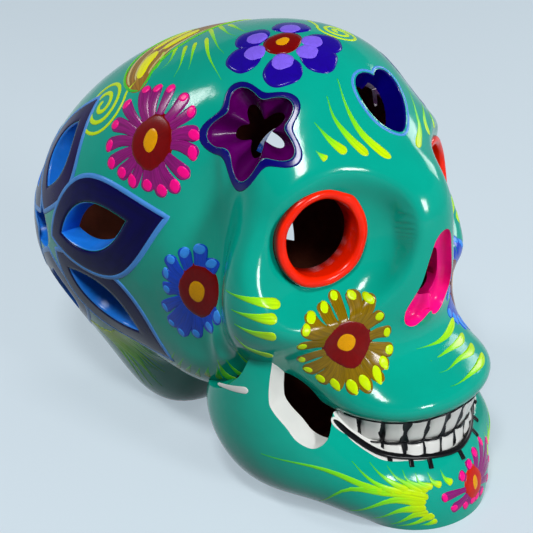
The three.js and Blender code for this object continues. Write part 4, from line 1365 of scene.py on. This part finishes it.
BROW_STROKES = (
    ((-9.4, 36.7, 137.5), (-12.0, 42.0, 131.7), (-12.1, 47.3, 125.0), (-9.1, 53.7, 118.9),
     (-7.8, 56.4, 117.1)),
    ((-15.5, 37.8, 134.0), (-17.1, 42.0, 128.7), (-16.0, 47.1, 123.5), (-13.4, 52.1, 118.5)),
    ((-22.3, 38.8, 128.0), (-21.3, 44.0, 123.6), (-19.1, 48.5, 120.0)),
    ((-26.0, 42.5, 121.2), (-25.5, 44.3, 120.0), (-24.9, 45.8, 119.0)),
    ((20.9, 40.0, 128.0), (15.6, 47.9, 122.7), (12.3, 51.9, 119.3), (3.5, 57.8, 117.4)),
    ((26.4, 41.7, 121.5), (19.0, 48.7, 119.7), (16.3, 52.7, 116.2)),
    ((28.5, 43.5, 119.5), (26.1, 46.3, 117.7), (24.7, 48.6, 114.8)),
)
NECK_STROKES = (
    ((22.5, -36.8, 8.8), (29.0, -37.3, 20.3), (34.7, -41.0, 31.6), (36.1, -49.5, 36.6)),
    ((22.3, -29.1, 11.4), (29.3, -31.7, 22.6), (33.9, -36.7, 30.1), (36.8, -42.7, 35.9)),
    ((27.5, -28.4, 21.3), (29.6, -30.5, 23.8), (34.2, -32.9, 31.7), (37.1, -38.1, 36.4)),
    ((24.6, -24.7, 19.8), (33.3, -30.5, 30.9), (38.3, -35.0, 38.7)),
    ((27.2, -23.5, 25.5), (34.5, -27.5, 33.2), (39.0, -32.5, 39.9)),
    ((30.4, -23.5, 29.2), (37.8, -24.6, 37.7), (39.0, -30.8, 39.8)),
)
JAW_STROKES = (
    ((45.9, 38.8, 24.6), (38.5, 57.0, 23.3), (27.9, 74.6, 17.3), (16.3, 82.1, 13.1)),
    ((35.4, 53.9, 8.3), (35.3, 64.9, 17.5), (28.0, 74.7, 17.0), (16.4, 82.3, 12.4)),
    ((32.6, 64.0, 7.9), (28.0, 74.8, 13.8), (17.1, 82.0, 11.0)),
    ((28.1, 69.7, 5.2), (24.5, 76.6, 9.1), (17.2, 82.2, 9.0)),
    ((23.6, 73.3, 2.0), (20.4, 79.6, 6.6), (16.5, 82.6, 7.3)),
    ((32.4, 64.1, 26.2), (30.7, 70.7, 21.0), (23.0, 77.7, 15.4)),
    ((28.8, 68.2, 25.8), (27.7, 72.6, 22.0), (21.6, 78.4, 15.8)),
    ((24.9, 72.0, 24.3), (23.8, 75.5, 20.5), (17.9, 80.7, 14.9)),
    ((21.2, 75.2, 22.3), (20.8, 77.5, 19.0), (16.0, 81.8, 14.8)),
    ((17.9, 77.9, 20.6), (17.8, 79.7, 17.7), (14.5, 82.3, 15.5)),
    ((14.3, 79.9, 20.0), (13.9, 81.9, 17.1), (11.6, 83.6, 15.4)),
    ((10.1, 81.9, 19.6), (9.8, 83.5, 17.0), (7.7, 85.0, 14.9)),
    ((20.3, 78.1, 1.7), (18.0, 81.3, 4.5), (14.6, 83.8, 5.5)),
    ((17.7, 80.5, 0.8), (15.9, 82.5, 2.3), (13.7, 84.2, 3.5)),
    ((21.8, 74.1, 0.9), (18.9, 80.3, 3.7), (15.3, 83.5, 6.5)),
)


def halfway(lines):
    """Lines with one more half way between each two neighbours"""
    shares = np.linspace(0, 1, 7)
    lines = [line_at(line, shares) for line in lines]
    return lines + [(a + b) / 2 for a, b in zip(lines, lines[1:])]


# Strokes that both sides have, each side its own: name, form, lines, half widths, crown and finish
SIDE_STROKES = (
    ("cheek", CRANIUM, CHEEK_STROKES, [1.9], 1.0, "lime"),
    ("rim", CRANIUM, RIM_STROKES, np.linspace(1.25, 0.6, len(RIM_STROKES)), 1.0, "stroke_in_shade"),
    ("neck", CRANIUM, halfway(NECK_STROKES), [1.4], 1.0, "fan"),
    ("jaw", JAW, JAW_STROKES, [1.6, 1.8, 1.8, 1.7, 1.5] + [1.2] * (len(JAW_STROKES) - 5), 1.2, "fan"),
)
# The chin's flower reaches further to the left, so the strokes there lie further out and back
LEFT_JAW_SHIFT = (5.0, -9.0, 0.0)
# No stroke's line comes nearer to the table than this
LOWEST_STROKE = 2.6
BROW_WIDTHS = (1.5, 1.5, 1.5, 1.2, 1.3, 1.1, 1.0)


class SKULL_OT_strokes(bpy.types.Operator):
    """The green brush strokes on the cheeks, rims, muzzle, brow, neck and jaw"""

    bl_idname = "skull.strokes"
    bl_label = "Brush strokes"

    def execute(self, context):
        for side_name, side in SIDES.items():
            for name, form, lines, widths, crown, finish in SIDE_STROKES:
                lines = [sided(line, side) for line in lines]
                if (side_name, name) == ("left", "jaw"):
                    lines = [line + LEFT_JAW_SHIFT for line in lines]
                lines = [np.maximum(line, (-np.inf, -np.inf, LOWEST_STROKE)) for line in lines]
                parts = mark_parts(form, lines, widths, THIN_TO_BLUNT, crown)
                piece(f"{side_name}_{name}_strokes", parts, [finish])
        muzzle = mark_parts(CRANIUM, MUZZLE_STROKES, [1.6], Brush(0.05, 1.0, 0.0, 0.3))
        piece("muzzle_strokes", muzzle, ["lime"])
        piece("brow_strokes", mark_parts(CRANIUM, BROW_STROKES, BROW_WIDTHS, THIN_TO_BLUNT), ["fan"])
        return {"FINISHED"}


# A spiral's seat, its start's angle and radius, its turns, and the places of its stem as angle and radius
BACK_SPIRAL = dict(
    place=(35.1, -38.1, 117.8), start=40, radius=11.5, turns=2.75, stem=((18, 19.0), (30, 14.0))
)
CROWN_SPIRAL = dict(
    place=(9.9, 21.3, 144.0), start=-150, radius=7.0, turns=2.25, stem=((178, 13.0), (190, 9.5))
)


class SKULL_OT_spirals(bpy.types.Operator):
    """The lime spirals above the back flowers and on the crown"""

    bl_idname = "skull.spirals"
    bl_label = "Spirals"

    def execute(self, context):
        brush = Brush(0.5, 0.8, 0.0, 0.01)
        for name, side in SIDES.items():
            line = spiral(seat_on(CRANIUM, BACK_SPIRAL["place"], 0.0, side), BACK_SPIRAL)
            parts = mark_parts(CRANIUM, [line], [1.15], brush, steps=150, around=8)
            piece(f"{name}_spiral", parts, ["citrus"])
        line = spiral(crown_seat(CROWN_SPIRAL["place"]), CROWN_SPIRAL)
        piece("crown_spiral", mark_parts(CRANIUM, [line], [0.9], brush, steps=120, around=8), ["citrus"])
        return {"FINISHED"}


def spiral(seat, form):
    """An even spiral inwards to 1 mm from its middle: the radius falls steadily as the angle grows. The
    stem's places come first."""
    share = np.linspace(0, 1, int(form["turns"] * 24))
    stem_angles, stem_radii = zip(*form["stem"])
    angles = np.concatenate([stem_angles, form["start"] + 360 * form["turns"] * share])
    radii = np.concatenate([stem_radii, form["radius"] + (1.0 - form["radius"]) * share])
    return on_chart(seat, angles, radii)


# The leaf over the crest, from its near tip to its far one, and what is brushed over it
CREST_LINE = (
    (-33.7, -22.5, 126), (-27, -29, 129), (-18, -32, 133), (-8, -30, 136), (2, -27, 139), (20, -20, 139),
)
CREST_HALF_WIDTH = 10.5
FRINGE = (
    ((-28.5, 7.6, 135.3), (-22.2, -3.3, 138.5), (-12.7, -13.4, 140.0)),
    ((-20.4, 1.2, 140.2), (-16.9, -5.0, 140.7), (-5.0, -19.0, 139.8)),
    ((-27.1, -7.5, 134.7), (-23.7, -9.6, 136.4), (-15.0, -15.5, 138.0)),
    ((-29.7, -11.3, 132.0), (-25.0, -12.8, 134.8), (-16.5, -18.5, 137.2)),
    ((-26.7, -19.5, 132.1), (-23.3, -18.9, 134.1), (-16.5, -22.6, 135.9)),
    ((-28.9, -23.5, 129.4), (-25.2, -22.5, 132.1), (-18.6, -26.0, 134.0)),
    ((-12.1, -1.5, 143.0), (-9.8, -7.2, 142.3), (-2.7, -17.2, 141.2)),
    ((-9.0, 1.4, 144.2), (-8.0, -3.0, 143.6), (-1.5, -14.5, 142.1)),
)


def crest_lines(offsets, start, end):
    """Lines that follow the crest leaf at distances from its middle, as shares of its half width. The leaf
    narrows to its tips as the 0.6th power of a sine."""
    share = np.linspace(start, end, 24)
    middle = line_at(CREST_LINE, share)
    _, facing = draped(CRANIUM, middle)
    aside = unit(np.cross(facing, unit(np.gradient(middle, axis=0))))
    width = CREST_HALF_WIDTH * np.sin(np.pi * share) ** 0.6
    return [middle + aside * (width * offset)[:, None] for offset in offsets]


class SKULL_OT_crest_leaf(bpy.types.Operator):
    """The ochre leaf over the crest, its veins and blotches, its green edges and its fringe"""

    bl_idname = "skull.crest_leaf"
    bl_label = "Crest leaf"

    def execute(self, context):
        ground = [CREST_LINE]
        veins = crest_lines((-0.75, -0.25, 0.25, 0.75), 0.08, 0.9)
        blotches = crest_lines((-0.3, 0.35), 0.36, 0.6) + crest_lines((0.1,), 0.1, 0.34)
        edges = crest_lines((1.0, -1.0), 0.0, 1.0)
        parts = []
        for lines, half_width, brush, crown, finish, steps, around in (
            (ground, CREST_HALF_WIDTH, Brush(0.75, 0.75, 0.35, 0.35), 1.0, "ochre", 70, 30),
            (veins, 0.6, Brush(1.0, 0.2, 0.2, 0.0), 1.6, "straw", 40, 12),
            (blotches, 3.0, Brush(0.7, 1.0, 0.3, 0.3), 2.0, "yellow", 24, 12),
            (edges, 0.9, Brush(0.6, 0.6, 0.1, 0.1), 2.2, "fan", 60, 12),
            (FRINGE, 0.8, THIN_TO_BLUNT, 1.2, "fan", 20, 12),
        ):
            parts += mark_parts(CRANIUM, lines, [half_width], brush, crown, finish, steps, around)
        piece("crest_leaf", parts, ["ochre", "straw", "yellow", "fan"])
        return {"FINISHED"}


CORNER_MARK = ((30.4, 54.4, 37.0), (29.5, 57.2, 34.2), (27.6, 61.6, 31.0))
RIM_MARK = ((42.5, 18.5, 40.2), (44.8, 26.0, 42.6), (44.7, 32.4, 44.2))


class SKULL_OT_white_marks(bpy.types.Operator):
    """The white glaze that runs out at the mouth's corners and under the temples' rims"""

    bl_idname = "skull.white_marks"
    bl_label = "White marks"

    def execute(self, context):
        for name, side in SIDES.items():
            parts = mark_parts(JAW, [sided(CORNER_MARK, side)], [1.5], Brush(1.0, 0.3, 0.25, 0.1))
            parts += mark_parts(JAW, [sided(RIM_MARK, side)], [1.15], Brush(0.5, 1.0, 0.1, 0.1))
            piece(f"{name}_white_marks", parts, ["white"])
        return {"FINISHED"}


class SKULL_OT_stage(bpy.types.Operator):
    """The floor, the lights and the camera"""

    bl_idname = "skull.stage"
    bl_label = "Stage"

    def execute(self, context):
        scene = context.scene
        scene.view_settings.view_transform = "Standard"
        add_floor(scene)
        add_lights(scene)
        add_camera(scene)
        return {"FINISHED"}


# The floor, in metres: the radii of its flat rings, and the radius at which it starts to bend up, the
# bend's own radius and the wall's height
FLOOR = dict(flat=(0.02, 1.2, 2.4), bend_start=2.6, bend=0.6, height=1.6, spokes=96)


def add_floor(scene):
    """A pale paper floor that sweeps up into a wall all round: a flat disc, a quarter of a circle and a
    straight rise, turned about the middle. What the camera and the glaze see of it glows a little."""
    bend, start, spokes = FLOOR["bend"], FLOOR["bend_start"], FLOOR["spokes"]
    angle = np.radians(np.linspace(-90, 0, 9))
    radii = np.concatenate([FLOOR["flat"], start + bend * np.cos(angle), [start + bend]])
    heights = np.concatenate([[0, 0, 0], bend + bend * np.sin(angle), [FLOOR["height"]]])
    turn = np.linspace(0, 2 * np.pi, spokes, endpoint=False)
    rings = np.stack(np.broadcast_arrays(
        radii[:, None] * np.cos(turn), radii[:, None] * np.sin(turn), heights[:, None],
    ), -1)
    numbers = np.arange(len(radii) * spokes).reshape(-1, spokes)
    faces = ring_quads(numbers[:-1], numbers[1:]).tolist()
    mesh = bpy.data.meshes.new("floor")
    mesh.from_pydata(rings.reshape(-1, 3).tolist(), [], faces + [numbers[0].tolist()])
    mesh.shade_smooth()
    floor = bpy.data.objects.new("floor", mesh)
    scene.collection.objects.link(floor)
    mesh.materials.append(pale_paper())


def pale_paper():
    """Matt photographer's paper: no gloss, and a faint blue that keeps the background cool. It is darker to
    the light that it throws back on the skull than to the camera."""
    material = bpy.data.materials.new("Pale paper")
    material.use_nodes = True
    tree = material.node_tree
    shader = tree.nodes["Principled BSDF"]
    shader.inputs["Roughness"].default_value = 0.9
    shader.inputs["Specular IOR Level"].default_value = 0.2
    rays = add(tree, "ShaderNodeLightPath")
    seen = add(tree, "ShaderNodeMath", {"operation": "MAXIMUM"}, {
        0: rays.outputs["Is Camera Ray"], 1: rays.outputs["Is Glossy Ray"],
    })
    seen = add(tree, "ShaderNodeMath", {"operation": "MAXIMUM"}, {
        0: seen.outputs["Value"], 1: rays.outputs["Is Transmission Ray"],
    })
    mixed = add(tree, "ShaderNodeMix", {"data_type": "RGBA"}, {"Factor": seen.outputs["Value"]})
    mixed.inputs["A"].default_value = (*linear("#4A5154"), 1.0)
    mixed.inputs["B"].default_value = (*linear("#9CA6AC"), 1.0)
    tree.links.new(mixed.outputs["Result"], shader.inputs["Base Color"])
    glow = add(tree, "ShaderNodeMath", {"operation": "MULTIPLY"}, {0: seen.outputs["Value"], 1: 0.48})
    shader.inputs["Emission Color"].default_value = (*linear("#D8E8F4"), 1.0)
    tree.links.new(glow.outputs["Value"], shader.inputs["Emission Strength"])
    return material


LAMPS = (
    # name, place, what it aims at, width and power
    ("key", (-0.55, -0.35, 0.95), (0, 0, 0.08), 0.18, 6.6),
    ("front", (-0.10, -1.00, 0.32), (0, 0, 0.06), 0.20, 6.4),
    ("fill", (0.90, -0.20, 0.45), (0, 0, 0.08), 0.30, 2.4),
    ("back", (-0.45, 0.75, 0.80), (0, 0, 0.08), 0.20, 3.2),
)


def add_lights(scene):
    """A dim even light all round and square soft boxes for the glaze to mirror"""
    world = bpy.data.worlds.new("Studio")
    scene.world = world
    world.use_nodes = True
    background = world.node_tree.nodes["Background"]
    background.inputs["Color"].default_value = (*linear("#E8EEF2"), 1.0)
    background.inputs["Strength"].default_value = 0.16
    for name, place, aim, width, power in LAMPS:
        lamp = bpy.data.lights.new(name, "AREA")
        lamp.shape = "RECTANGLE"
        lamp.size, lamp.size_y = width, width
        lamp.energy = power
        made = bpy.data.objects.new(name, lamp)
        scene.collection.objects.link(made)
        made.matrix_world = looking(place, np.array(place) - np.array(aim))


def looking(place, back):
    """The matrix of a lamp or camera at a place, with its back turned a given way and its top up"""
    back = unit(np.array(back, float))
    side = unit(np.cross((0, 0, 1.0), back))
    rows = np.stack([side, np.cross(back, side), back], 1)
    return Matrix([(*row, float(p)) for row, p in zip(rows, place)] + [(0, 0, 0, 1)])


# The camera's place in metres, the way its back is turned, and its lens and sensor in mm
CAMERA = dict(place=(-0.3466, -0.3101, 0.2916), back=(-0.6697, -0.5923, 0.4478), lens=103.96, sensor=36)


def add_camera(scene):
    """A camera to the right of the face and above it, with the photograph's reach"""
    camera = bpy.data.cameras.new("camera")
    camera.lens = CAMERA["lens"]
    camera.sensor_width = CAMERA["sensor"]
    made = bpy.data.objects.new("camera", camera)
    scene.collection.objects.link(made)
    made.matrix_world = looking(CAMERA["place"], CAMERA["back"])
    scene.camera = made


class SKULL_PT_pieces(bpy.types.Panel):
    """The skull's sizes, colours and pieces, in the 3D view's sidebar"""

    bl_idname = "SKULL_PT_pieces"
    bl_label = "Painted skull"
    bl_space_type = "VIEW_3D"
    bl_region_type = "UI"
    bl_category = "Skull"

    def draw(self, context):
        for group in (context.scene.skull_sizes, context.scene.skull_colours):
            for name in group.__annotations__:
                self.layout.prop(group, name)
        for operator in OPERATORS:
            self.layout.operator(operator.bl_idname)


OPERATORS = (
    SKULL_OT_cranium,
    SKULL_OT_jaw,
    SKULL_OT_collars,
    SKULL_OT_teeth,
    SKULL_OT_borders,
    SKULL_OT_back_flowers,
    SKULL_OT_daisies,
    SKULL_OT_top_flower,
    SKULL_OT_chin_flower,
    SKULL_OT_strokes,
    SKULL_OT_spirals,
    SKULL_OT_crest_leaf,
    SKULL_OT_mouth_lines,
    SKULL_OT_white_marks,
    SKULL_OT_stage,
)
CLASSES = (SkullSizes, SkullColours, *OPERATORS, SKULL_PT_pieces)


def register():
    """Gives Blender the classes, and its scenes the sizes and colours"""
    for kind in CLASSES:
        bpy.utils.register_class(kind)
    bpy.types.Scene.skull_sizes = bpy.props.PointerProperty(type=SkullSizes)
    bpy.types.Scene.skull_colours = bpy.props.PointerProperty(type=SkullColours)


def unregister():
    """Takes back what register gives"""
    del bpy.types.Scene.skull_colours
    del bpy.types.Scene.skull_sizes
    for kind in reversed(CLASSES):
        bpy.utils.unregister_class(kind)


def main():
    """Builds every piece and the stage"""
    register()
    for operator in OPERATORS:
        group, name = operator.bl_idname.split(".")
        getattr(getattr(bpy.ops, group), name)()


if __name__ == "__main__":
    main()
